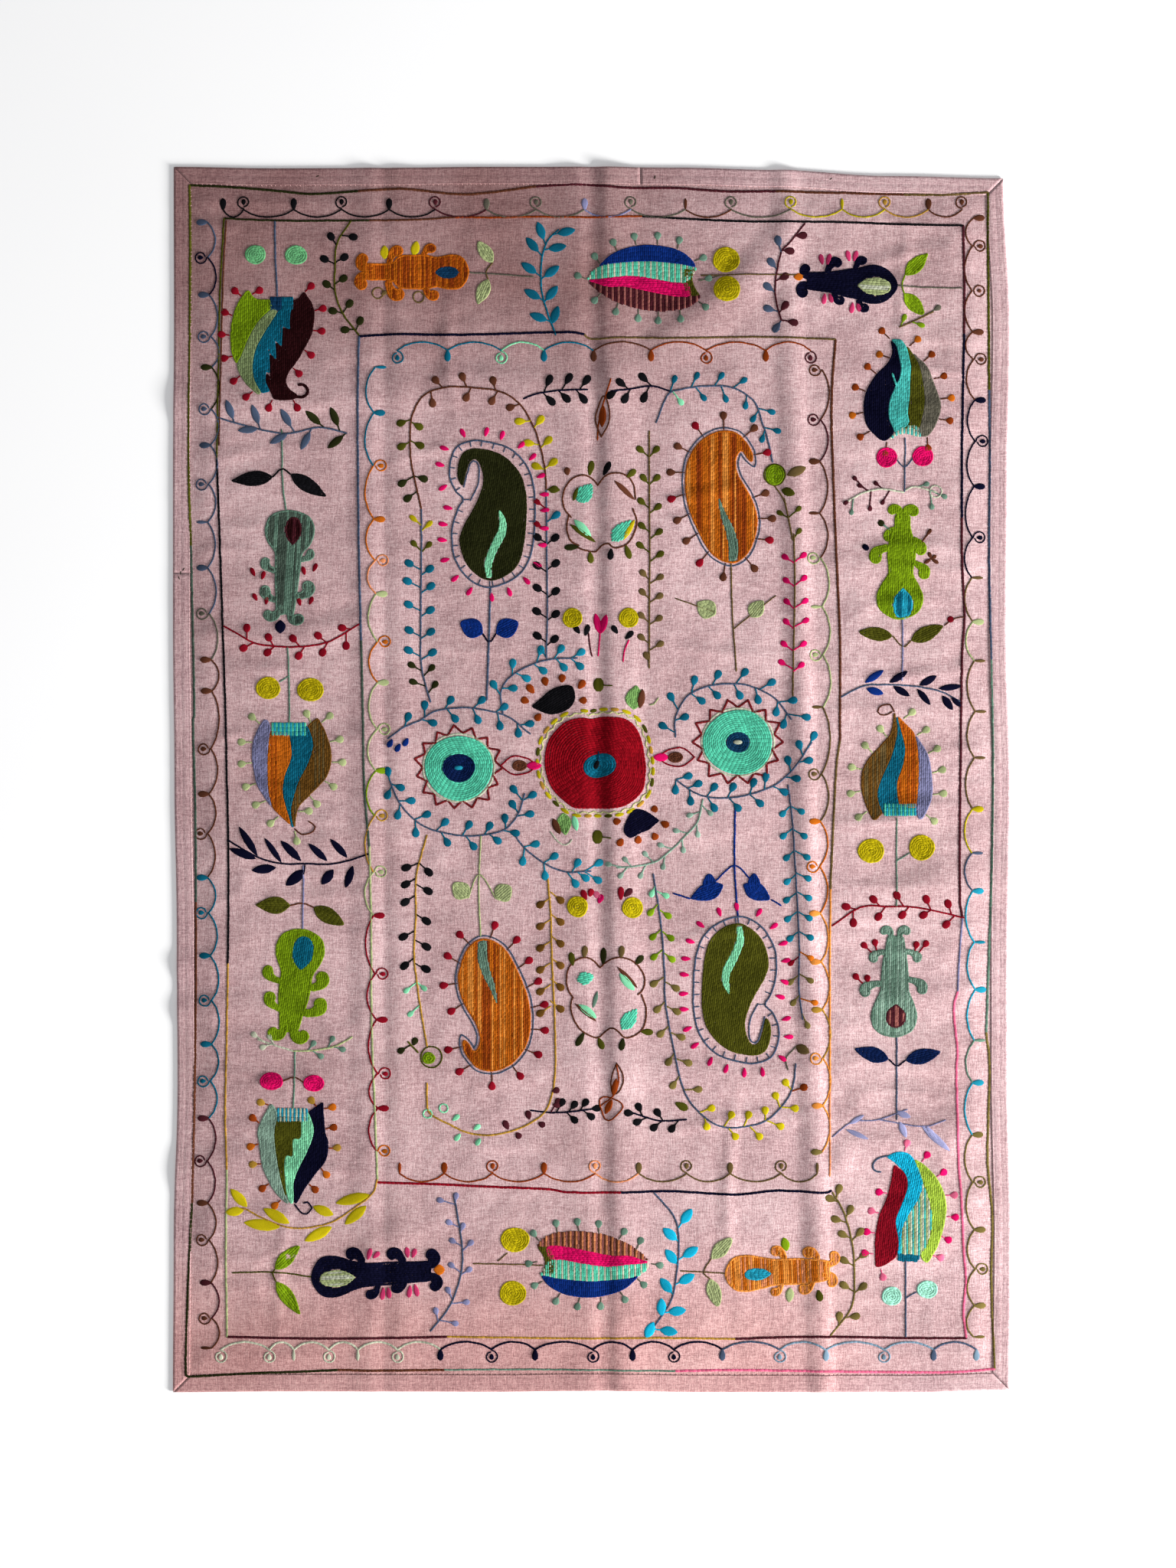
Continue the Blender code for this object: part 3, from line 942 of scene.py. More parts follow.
def bands(curves, colours, x, y, turn=0.0, sx=1.0, sy=1.0):
    """A form cut in bands: each lies between two curves that run from one end of it to the other."""
    set_down = [place(c, x, y, turn, sx, sy) for c in curves]
    for colour, one, two in zip(colours, set_down, set_down[1:]):
        outline = np.vstack([np.repeat(one[:1], 2, 0), one[1:-1], np.repeat(one[-1:], 2, 0),
                             np.repeat(two[-1:], 2, 0), two[-2:0:-1], np.repeat(two[:1], 2, 0)])
        shape(colour, outline, 90.0 + turn)
    return soft(np.vstack([set_down[0], set_down[-1][::-1]]), closed=True)


def ribbon(spine, half):
    """The closed outline of a stroke with that spine and half breadth."""
    side = left_of(unit(np.gradient(spine, axis=0))) * half[:, None]
    return np.vstack([spine + side, (spine - side)[::-1]])


def curl(thread, path, swell, turn):
    """A short arm along a path, which swells to a round end."""
    spine = soft(path)
    t = np.linspace(0.0, 1.0, len(spine))
    cap = 1.0 - swell / max(2.0 * len(spine), 1.2 * swell)
    round_off = np.sqrt(1.0 - np.clip((t - cap) / (1.0 - cap), 0.0, 1.0) ** 2)
    fill(thread, ribbon(spine, swell * (0.56 + 0.44 * ramp(t, 0.3, 0.35)) * round_off), turn)


# a head leaf's outline: place along it from -1 to 1, and half breadth
HEAD_LEAF = ((-1, 0), (-1, 0), (-0.45, 0.8), (0.2, 1.0), (0.8, 0.66), (1, 0), (0.8, -0.66), (0.2, -1.0),
             (-0.45, -0.8))
ARM_SWELL = 0.88


def lobed(body, centre, arms, feet, start, end, profile, head_leaf, stripes=False):
    """A bulb-headed leaf figure: a trunk with curled arms at both sides, two curled feet and a leaf in
    its head. arms and feet are (x, y, radius) of their round ends, profile is (place along, half breadth)
    and head_leaf is (x, y, long, broad)."""
    start, end = np.asarray(start, float), np.asarray(end, float)
    way = unit(end - start)
    side = left_of(way)
    turn = math.degrees(math.atan2(way[1], way[0]))
    rows = turn + 90.0 if stripes else turn

    def world(points):
        return [start + way * s + side * w for s, w in points]

    def own(x, y):
        s, w = (np.array([x, y]) - start) @ np.stack([way, side], -1)
        return s, abs(w), math.copysign(1.0, w)

    for x, y, r in arms:
        s, w, sign = own(x, y)
        root = np.interp(s - 1.3 * r, *np.transpose(profile)) - 4.0
        arm = [(s - 1.35 * r, sign * root), (s - 1.25 * r, sign * (root + w) / 2),
               (s - 0.5 * r, sign * (w + 0.2 * r)), (s + 0.9 * r, sign * (w - 0.1 * r))]
        curl(body, world(arm), ARM_SWELL * r, rows)
    for x, y, r in feet:
        s, w, sign = own(x, y)
        foot = [(s + 1.7 * r, sign * 8.0), (s - 0.1 * r, sign * (w - 1.0 * r)), (s - 0.5 * r, sign * w),
                (s + 0.5 * r, sign * (w + 0.8 * r))]
        curl(body, world(foot), ARM_SWELL * r, rows)
    half = [(s + 2.0, w) for s, w in profile[:-1]]
    trunk = world([(3.0, 0.0), *half, (profile[-1][0], 0.0), *[(s, -w) for s, w in half[::-1]]])
    x, y, long, broad = head_leaf
    inner = soft([(x, y) + way * (long / 2 * t) + side * (broad / 2 * w) for t, w in HEAD_LEAF], closed=True)
    shape(body, trunk, rows, hole=inner)
    fill(centre, inner, turn)


# thread colours, as they look in even light
DYES = {
    "amber": (206, 128, 52), "aqua": (66, 168, 160), "black": (9, 8, 12), "blue": (4, 38, 108),
    "bright_cyan": (16, 160, 194), "brown": (84, 46, 30), "burnt": (152, 68, 8), "cream": (176, 180, 158),
    "crimson": (130, 2, 18), "cyan": (30, 144, 170), "dark_olive": (32, 34, 8), "dark_red": (122, 4, 24),
    "deep_blue": (4, 24, 66), "drab": (108, 94, 48), "gold": (164, 124, 44), "grey": (92, 88, 76),
    "grey_green": (92, 120, 104), "jade": (100, 168, 114), "khaki": (92, 74, 42),
    "leaf_green": (108, 148, 82), "light_lime": (152, 180, 60), "lilac": (114, 114, 148),
    "lime": (108, 136, 10), "magenta": (198, 6, 86), "maroon": (34, 3, 6), "mint": (122, 200, 156),
    "moss_grey": (66, 80, 70), "navy": (2, 2, 28), "olive": (68, 68, 10), "orange": (176, 90, 14),
    "pale_green": (150, 160, 112), "pale_lilac": (146, 146, 184), "pale_mint": (152, 214, 190),
    "pale_sage": (124, 150, 134), "pale_slate": (112, 136, 154), "peach": (196, 122, 80),
    "pink": (206, 94, 126), "plum": (66, 22, 30), "rose": (142, 84, 78), "rose_pink": (178, 48, 92),
    "rust": (126, 50, 8), "sage": (118, 134, 90), "sea_blue": (14, 112, 136), "seam": (176, 138, 136),
    "slate": (66, 78, 100), "steel": (12, 52, 84), "straw": (176, 176, 120), "teal": (6, 90, 114),
    "turquoise": (80, 186, 154), "umber": (96, 64, 20), "wine": (104, 24, 28), "yellow": (172, 156, 8)}


# ---------------------------------------------------------------- the lines of the two frames
def outer_line():
    pieced(("dark_olive", LINE_BROAD, [(-722, 1067), (-640, 1063), (-560, 1056), (-505, 1051), (-420, 1056)]),
           ("brown", LINE_BROAD, [(-338, 1060), (-245, 1051), (-190, 1053), (-100, 1065)]),
           ("plum", LINE_BROAD, [(-20, 1068), (60, 1062), (150, 1062), (236, 1056), (330, 1056)]),
           ("brown", LINE_BROAD, [(450, 1053), (560, 1050)]),
           ("khaki", LINE_BROAD, [(640, 1050), (711, 1054)]))
    pieced(("olive", LINE_BROAD, [(-722, 1067), (-721, 960), (-722, 800), (-724, 575), (-720, 420)]),
           ("moss_grey", LINE_BROAD, [(-714, 135), (-716, 100), (-712, -60), (-711, -220)]),
           ("brown", LINE_BROAD, [(-711, -380), (-714, -600), (-718, -760)]),
           ("dark_olive", LINE_BROAD, [(-724, -880), (-727, -964), (-729, -1062), (-725, -1071),
                                       (-690, -1070), (-612, -1066), (-523, -1063), (-457, -1060)]),
           ("brown", LINE_BROAD, [(-380, -1061), (-265, -1060)]),
           ("grey_green", 3.6, [(-120, -1059), (0, -1060), (150, -1062)]),
           ("pink", LINE_BROAD, [(257, -1060), (406, -1062), (630, -1064), (723, -1058)]),
           ("drab", LINE_BROAD, [(717, -898), (719, -786), (710, -674), (714, -520), (708, -454)]),
           ("grey_green", LINE_BROAD, [(709.5, -410), (717, -181), (720, 25), (717, 215)]),
           ("slate", LINE_BROAD, [(713, 395), (714.6, 575), (713, 700)]),
           ("olive", LINE_BROAD, [(712, 860), (711, 960), (711, 1054)]))


def middle_line():
    pieced(("dark_olive", 4.0, [(-660, 1007), (-560, 1003), (-400, 1003)]),
           ("brown", 4.0, [(-320, 1004), (-245, 1009)]),
           ("rust", 4.0, [(-170, 1009), (-100, 1010), (0, 1009), (90, 1011)]),
           ("black", 4.4, [(236, 1003), (350, 1001), (450, 1000), (560, 996), (666, 994)]))
    line("olive", [(-660, 1007), (-664, 940), (-668, 860), (-671, 700), (-673, 575)], 3.8)
    line("brown", [(-656, 1003), (-660, 940), (-663, 860), (-667, 700), (-669, 600)], 3.0)
    pieced(("black", 4.4, [(-673, 575), (-665, 350), (-658, 135), (-655, 0), (-652, -150), (-653, -330)]),
           ("gold", 3.8, [(-655, -450), (-658, -600), (-655, -700)]),
           ("pale_green", 3.8, [(-657, -850), (-656, -930), (-655, -1000)]),
           ("plum", LINE_BROAD, [(-560, -1002), (-457, -1003), (-350, -1002), (-260, -1000)]),
           ("gold", 4.0, [(-120, -1002), (0, -1003), (120, -1002), (257, -1004)]),
           ("plum", LINE_BROAD, [(340, -1001), (424, -1000), (555, -1002), (672, -1002)]))
    pieced(("plum", LINE_BROAD, [(666, 994), (668, 900), (668, 800)]),
           ("navy", LINE_BROAD, [(665, 660), (664, 575), (664, 470)]),
           ("plum", LINE_BROAD, [(664, 395), (668.6, 294), (664, 215), (661.6, 25), (659.8, -196),
                                 (665, -248)]),
           ("lilac", 3.6, [(660, -310), (656, -380)]),
           ("pink", LINE_BROAD, [(649, -413), (656, -490), (654, -525), (658, -685), (663, -749), (667, -842),
                                 (671, -898), (667, -954), (671, -1002)]))


def inner_line():
    pieced(("navy", LINE_BROAD, [(-418, 795), (-350, 799), (-260, 798), (-160, 800), (-100, 802), (-40, 803),
                                 (-14, 799)]),
           ("khaki", 4.0, [(0, 791), (60, 793), (150, 792), (300, 794), (437, 790)]))
    pieced(("slate", 4.8, [(-418, 795), (-420, 700), (-420, 575), (-418, 400), (-414, 250)]),
           ("moss_grey", 4.8, [(-411, 120), (-409, 0), (-405, -60), (-399, -120)]),
           ("pale_green", 4.0, [(-396, -260), (-395, -443), (-389, -600), (-385, -717)]))
    pieced(("dark_red", LINE_BROAD, [(-384, -723), (-265, -727), (-180, -731), (-81, -735), (-40, -741),
                                     (52, -741)]),
           ("navy", LINE_BROAD, [(149, -739), (257, -745), (332, -738), (417, -741), (430, -737)]))
    pieced(("brown", 5.0, [(437, 790), (430, 680), (432, 575), (439, 395), (445, 250), (445, 70)]),
           ("khaki", 4.6, [(439, 25), (433, -86), (428, -196)]),
           ("amber", 3.8, [(427, -344), (427, -450), (427, -560)]),
           ("peach", 3.6, [(427, -640), (427, -711)]))


# ---------------------------------------------------------------- garlands beside the frame lines
def outer_garlands():
    garland((0, 1), 1021, [
        ("black", "wcwcw", (-662, -625, -535, -449, -364)), ("plum", "c", (-281,)),
        ("grey", "wc", (-189, -100)), ("lilac", "w", (-13,)), ("grey", "c", (70,)), ("brown", "s", (168,)),
        ("grey", "c", (250,)),
        ("yellow", "cs", (357, 449)), ("gold", "c", (526,)), ("brown", "wc", (604, 664))])
    garland((-1, 0), -684, [
        ("slate", "w", (1000,)), ("navy", "c", (937,)), ("slate", "wc", (870, 795)),
        ("dark_olive", "w", (740,)), ("slate", "cwcsw", (665, 600, 530, 462, 380)), ("grey", "c", (298,)),
        ("brown", "wwcwc", (215, 159, 55, -26, -97)),
        ("teal", "wcwcwc", (-176, -239, -316, -396, -475, -541)),
        ("plum", "wc", (-608, -684)), ("brown", "wc", (-760, -826)), ("plum", "w", (-903,)),
        ("brown", "cs", (-967, -1020))], swing=(4.0, 90.0))
    garland((1, 0), 683, [
        ("brown", "wcrwc", (1008, 957, 877, 803, 754)), ("navy", "wcwc", (681, 607, 526, 434)),
        ("khaki", "s", (362,)), ("pale_green", "w", (283,)), ("khaki", "sss", (213, 122, 39)),
        ("yellow", "w", (-53,)), ("slate", "s", (-132,)), ("cyan", "wsw", (-200, -292, -377)),
        ("grey_green", "s", (-468,)), ("cyan", "w", (-544,)),
        ("drab", "wcwcws", (-637, -723, -808, -879, -944, -1000))], swing=(3.0, 80.0))
    garland((0, -1), -1021, [
        ("cream", "ccscsc", (-666, -579, -535, -472, -420, -349)),
        ("navy", "wcwcwc", (-272, -180, -102, 2, 73, 147)), ("slate", "w", (234,)),
        ("pale_slate", "cwc", (337, 420, 524)), ("slate", "w", (613,)), ("pale_slate", "w", (690,))],
            broad=4.0)


def inner_garlands():
    garland((0, -1), 772, [
        ("teal", "cw", (-349, -259)), ("mint", "c", (-163,)), ("teal", "w", (-86,)), ("brown", "w", (3,)),
        ("rust", "wcw", (106, 205, 312)), ("plum", "c", (392,))], 13.0)
    garland((1, 0), -390, [
        ("teal", "sw", (740, 658)), ("orange", "cw", (563, 467)), ("peach", "c", (393,)),
        ("pale_green", "w", (333,)), ("orange", "c", (247,)), ("pale_green", "wc", (174, 90)),
        ("lime", "w", (16,)), ("gold", "c", (-65,)), ("pale_green", "c", (-166,)),
        ("dark_red", "wcwcw", (-244, -349, -431, -528, -590)), ("orange", "c", (-667,))],
            14.0, swing=(4.0, 120.0))
    garland((-1, 0), 414, [
        ("brown", "c", (735,)), ("plum", "c", (646,)), ("brown", "ws", (571, 478)),
        ("pale_green", "csc", (398, 310, 224)), ("khaki", "sc", (130, 10)), ("orange", "wc", (-75, -156)),
        ("amber", "ww", (-240, -327)), ("gold", "w", (-413,)), ("amber", "cw", (-500, -585)),
        ("drab", "w", (-668,))], swing=(3.0, 110.0))
    garland((0, 1), -709, [
        ("rust", "swcw", (-345, -265, -178, -86)), ("peach", "c", (6,)),
        ("khaki", "wcwcs", (84, 170, 248, 340, 404))], 13.0)


# ---------------------------------------------------------------- forms that come again
# curves of a form in mm, from its left side to its right; a point given twice makes a corner
PAISLEY_A = [
    [(-33, -6), (-44, 12), (-66, -33), (-61, -96), (-45, -128), (-30, -149)],
    [(-34, -9), (-39, -54), (-38, -114), (-30, -149)],
    [(0, -14), (4, -54), (-8, -90), (-12, -120), (-5, -149), (5, -182)],
    [(32, 1), (43, -33), (34, -66), (16, -102), (7, -132), (3, -155), (8, -185)],
    [(33, 0), (50, 16), (50, 16), (66, -14), (76, -54), (67, -92), (37, -125), (16, -149), (10, -188)]]
PAISLEY_B = [
    [(-13, 0), (-40, 3), (-52, 21), (-52, 21), (-71, -7), (-81, -38), (-84, -70), (-81, -95), (-73, -117),
     (-65, -136), (-52, -155), (-33, -171)],
    [(-8, -14), (-33, -38), (-52, -70), (-62, -95), (-72, -117), (-65, -136), (-52, -155), (-33, -171)],
    [(2, -20), (-21, -57), (-37, -86), (-44, -117), (-40, -145), (-27, -168)],
    [(28, -2), (23, -35), (24, -54), (24, -54), (10, -48), (10, -48), (9, -86), (9, -86), (-3, -74),
     (-3, -74), (-1, -108), (-1, -108), (-14, -95), (-14, -95), (-12, -139), (-12, -139), (-19, -128),
     (-19, -128), (-20, -147), (-11, -166)],
    [(29, 0), (38, 2), (47, 16), (47, 16), (63, -7), (67, -32), (62, -62), (49, -88), (35, -112),
     (20, -132), (17, -150), (26, -164), (36, -170), (34, -178), (14, -181), (-5, -180)]]
PAISLEY_C = [
    [(-28, 0), (-39, 16), (-39, 16), (-62, -31), (-60, -57), (-58, -77), (-52, -106), (-32, -145),
     (-8, -168)],
    [(-27, -8), (-33, -44), (-27, -94), (-16, -143), (-6, -166)],
    [(15, -12), (14, -48), (0, -51), (0, -81), (-14, -83), (-12, -143), (-4, -166)],
    [(28, 0), (38, -35), (27, -71), (14, -97), (2, -127), (2, -150), (2, -166)],
    [(29, 0), (55, 17), (55, 17), (58, -38), (64, -54), (60, -87), (43, -110), (22, -139), (7, -166)]]
# a teardrop without ears, from its tip down
PAISLEY_D = [
    [(-25, 176), (-21, 156), (-24, 142), (-34, 128), (-47, 116), (-57, 103), (-66, 87), (-72, 65),
     (-72, 44), (-68, 23), (-53, 4), (-36, -8)],
    [(-24, 176), (-14, 164), (-9, 143), (-6, 125), (-8, 106), (-15, 94), (-19, 83), (-25, 69), (-28, 48),
     (-26, 29), (-18, 9), (-31, -5)],
    [(-6, 176), (3, 164), (9, 146), (12, 125), (11, 100), (10, 73), (7, 44), (9, 25), (0, 17), (-16, 9)],
    [(-1, 172), (18, 146), (28, 125), (35, 92), (37, 64), (32, 35), (26, 16), (12, 17)],
    [(-1, 172), (20, 148), (41, 127), (55, 94), (66, 60), (62, 35), (51, 12), (40, 1), (28, 3)]]
PAISLEY_D_FOOT = [(-34, -8), (-34, -8), (-16, 8), (8, 22), (29, 15), (28, 0), (28, 0), (-1, 7)]
TEAR = [(0, 0), (-37, 24), (-53, 66), (-47, 96), (-24, 138), (-12, 170), (-12, 195), (-22, 217), (-35, 214),
        (-42, 194), (-48, 167), (-48, 167), (-57, 185), (-55, 212), (-44, 232), (-20, 237), (18, 228),
        (45, 206), (61, 178), (67, 132), (60, 54), (40, 16)]
TEAR_RIM = [(1, -12), (-38, 4), (-62, 40), (-67, 70), (-66, 98), (-56, 130), (-46, 146), (-60, 160),
            (-71, 186), (-70, 214), (-58, 240), (-30, 251), (-4, 249), (34, 238), (60, 216), (76, 184),
            (82, 134), (76, 54), (52, 10)]
BEAN = [(0, 0), (-35, 15), (-60, 55), (-80, 105), (-85, 150), (-78, 190), (-55, 222), (-22, 238), (8, 234),
        (25, 218), (36, 199), (38, 178), (38, 178), (26, 189), (17, 203), (9, 194), (6, 176), (14, 152),
        (32, 122), (43, 92), (44, 60), (28, 18)]
SHELL = [
    [(-9, 898), (8, 917), (40, 945), (90, 959), (140, 955), (172, 940), (188, 920)],
    [(-9, 898), (10, 919), (50, 927), (100, 930), (150, 926), (188, 919)],
    [(-9, 897), (30, 900), (70, 904), (110, 899), (150, 892), (172, 893)],
    [(-8, 895), (28, 884), (60, 884), (100, 876), (150, 867), (178, 868)],
    [(-9, 896), (10, 878), (40, 859), (80, 846), (120, 841), (160, 844), (182, 853), (194, 868)]]
SHELL_CAP = [(166, 918), (188, 919), (188, 919), (180, 902), (183, 886), (195, 868), (195, 868), (178, 868),
             (166, 880), (163, 900)]


def paisley(curves, dyes, place_at, drop, stalk, flat, hook_dye, hook, hook_broad=3.2, reach=8.0):
    """A banded paisley with two ears at its flat end, and buds all round it. place_at is (x, y, turn,
    sx, sy), and flat is (left, right, thread) for each part of the flat end."""
    outline = bands(curves, dyes, *place_at)
    path = place(hook, *place_at)
    line(hook_dye, path, hook_broad)
    avoid = [(*place([(0, 10)], *place_at)[0], 27.0), *((x, y, 12.0) for x, y in path)]
    for left, right, thread in flat:
        corners = place([(left, -18), (left, 4), (right, 4), (right, -18)], *place_at)
        fill(thread, even(joined(corners), 2.0)[:-1], place_at[2] + 90.0, edge=False, high=1.6)
    drops(outline, reach, 37.0, drop, (15.0, 13.0), stalk, avoid)


def stroke(points, shares, halves):
    """The outline of a brush stroke: halves are its half breadths at shares of its length."""
    spine = soft(points)
    return ribbon(spine, np.interp(np.linspace(0, 1, len(spine)), shares, halves))


def tear(body, drop, *place_at):
    """A large paisley with a hooked tip inside a pale band."""
    outline = soft(place(TEAR, *place_at), closed=True)
    rim = soft(place(TEAR_RIM, *place_at), closed=True)
    flame = place(stroke([(0, 4), (-2, 30), (8, 58), (22, 86), (24, 105), (17, 128)],
                         (0, 0.2, 0.6, 0.85, 1), (4.5, 7.0, 8.0, 6.0, 0.8)), *place_at)
    turn = place_at[2]
    fill(body, outline, turn + 82.0, hole=flame)
    fill("mint", flame, turn + 84.0)
    line("slate", place([(-46, 168), (-40, 192), (-32, 214), (-21, 211), (-18, 190), (-22, 168), (-34, 144)],
                        *place_at), 3.0)
    chain("slate", joined(rim), 3.6)
    inner = shifted(rim, 12.0)
    for k in range(0, len(rim), 11):
        chain("slate", np.array([rim[k], 0.15 * rim[k] + 0.85 * inner[k]]), 2.4, LOW, FINE_LONG)
    drops(rim, 9.0, 30.0, drop, (17.0, 7.5))


def bean(x, y, turn, drop):
    """A large striped paisley with a thin outline and stalked buds."""
    outline = soft(place(BEAN, x, y, turn), closed=True)
    slit = place(stroke([(-24, 116), (-17, 90), (-5, 60), (2, 30), (0, 2)], (0, 0.3, 0.7, 1),
                        (1.0, 6.0, 9.0, 7.5)), x, y, turn)
    fill(["orange", "amber", "burnt", "orange", "rust"], outline, turn + 90.0, hole=slit)
    fill("grey_green", slit, turn + 100.0)
    rim = shifted(outline, -4.6)
    for first, last in stretches(depth(rim, outline) < -3.4):
        chain("slate", rim[first:last], 3.0, LOW)
    drops(outline, 18.0, 37.0, drop, (16.0, 14.0), "brown", start=6)


def shell(turned):
    """A lying banded paisley; the lower one is the upper one turned half round."""
    def at(points):
        p = np.asarray(points, float)
        return np.array([96.0, 30.0]) - p if turned else p

    curves = [at(c) for c in SHELL]
    bands(curves[:2], ["blue"], 0, 0)
    for k, dye, rows in ((1, ("turquoise", "turquoise", "cream"), 90.0), (2, "magenta", 0.0),
                         (3, ("rose", "peach", "brown") if turned else ("plum", "rose", "plum"), 90.0)):
        one, two = curves[k:k + 2]
        outline = np.vstack([np.repeat(one[:1], 2, 0), one[1:-1], np.repeat(one[-1:], 2, 0), two[-1:0:-1]])
        shape(dye, outline, rows, edge=k == 2)
    shape("olive", at(SHELL_CAP), 90.0)
    whole = soft(np.vstack([curves[0], curves[-1][::-1]]), closed=True)
    drops(whole, 10.0, 38.0, "grey_green", (14.0, 11.0), "grey")


def rosette(x, y, petal, eye, pupil, zigzag, points):
    """A round flower in a zigzag: petal and eye are (thread, half breadth, half height), zigzag is
    (thread, inner radius, outer radius)."""
    thread, rx, ry = petal
    disc(thread, x, y, rx, ry, rest=eye[1])
    disc(eye[0], x, y, *eye[1:], high=1.7)
    lay(pupil, "berry", (x - 8, y), (x + 8, y), 9.0, 3.4)
    t = np.linspace(0.0, 2 * math.pi, 2 * points + 1)
    radius = np.where(np.arange(len(t)) % 2 == 0, zigzag[2], zigzag[1]) * (1.0 + 0.03 * np.sin(5 * t))
    corner = (x, y) + radius[:, None] * round_way(t) * (1.0, ry / rx)
    for k in range(len(corner) - 1):
        chain(zigzag[0], corner[k:k + 2], 4.4, 1.0, 7.0)
    t = np.linspace(0.0, 2 * math.pi, 80)
    chain("cream", (x, y) + round_way(t) * (rx + 3.0, ry + 3.0), 4.0, 0.8)


def figure_buds(*rows):
    """Paired buds between a navy figure's arms: rows are (root x, root y, x, y that they point past)."""
    for x, y, past_x, past_y in rows:
        bud("rose_pink", (x, y), (x + 1.35 * (past_x - x), y + 1.35 * (past_y - y)), 8.0)


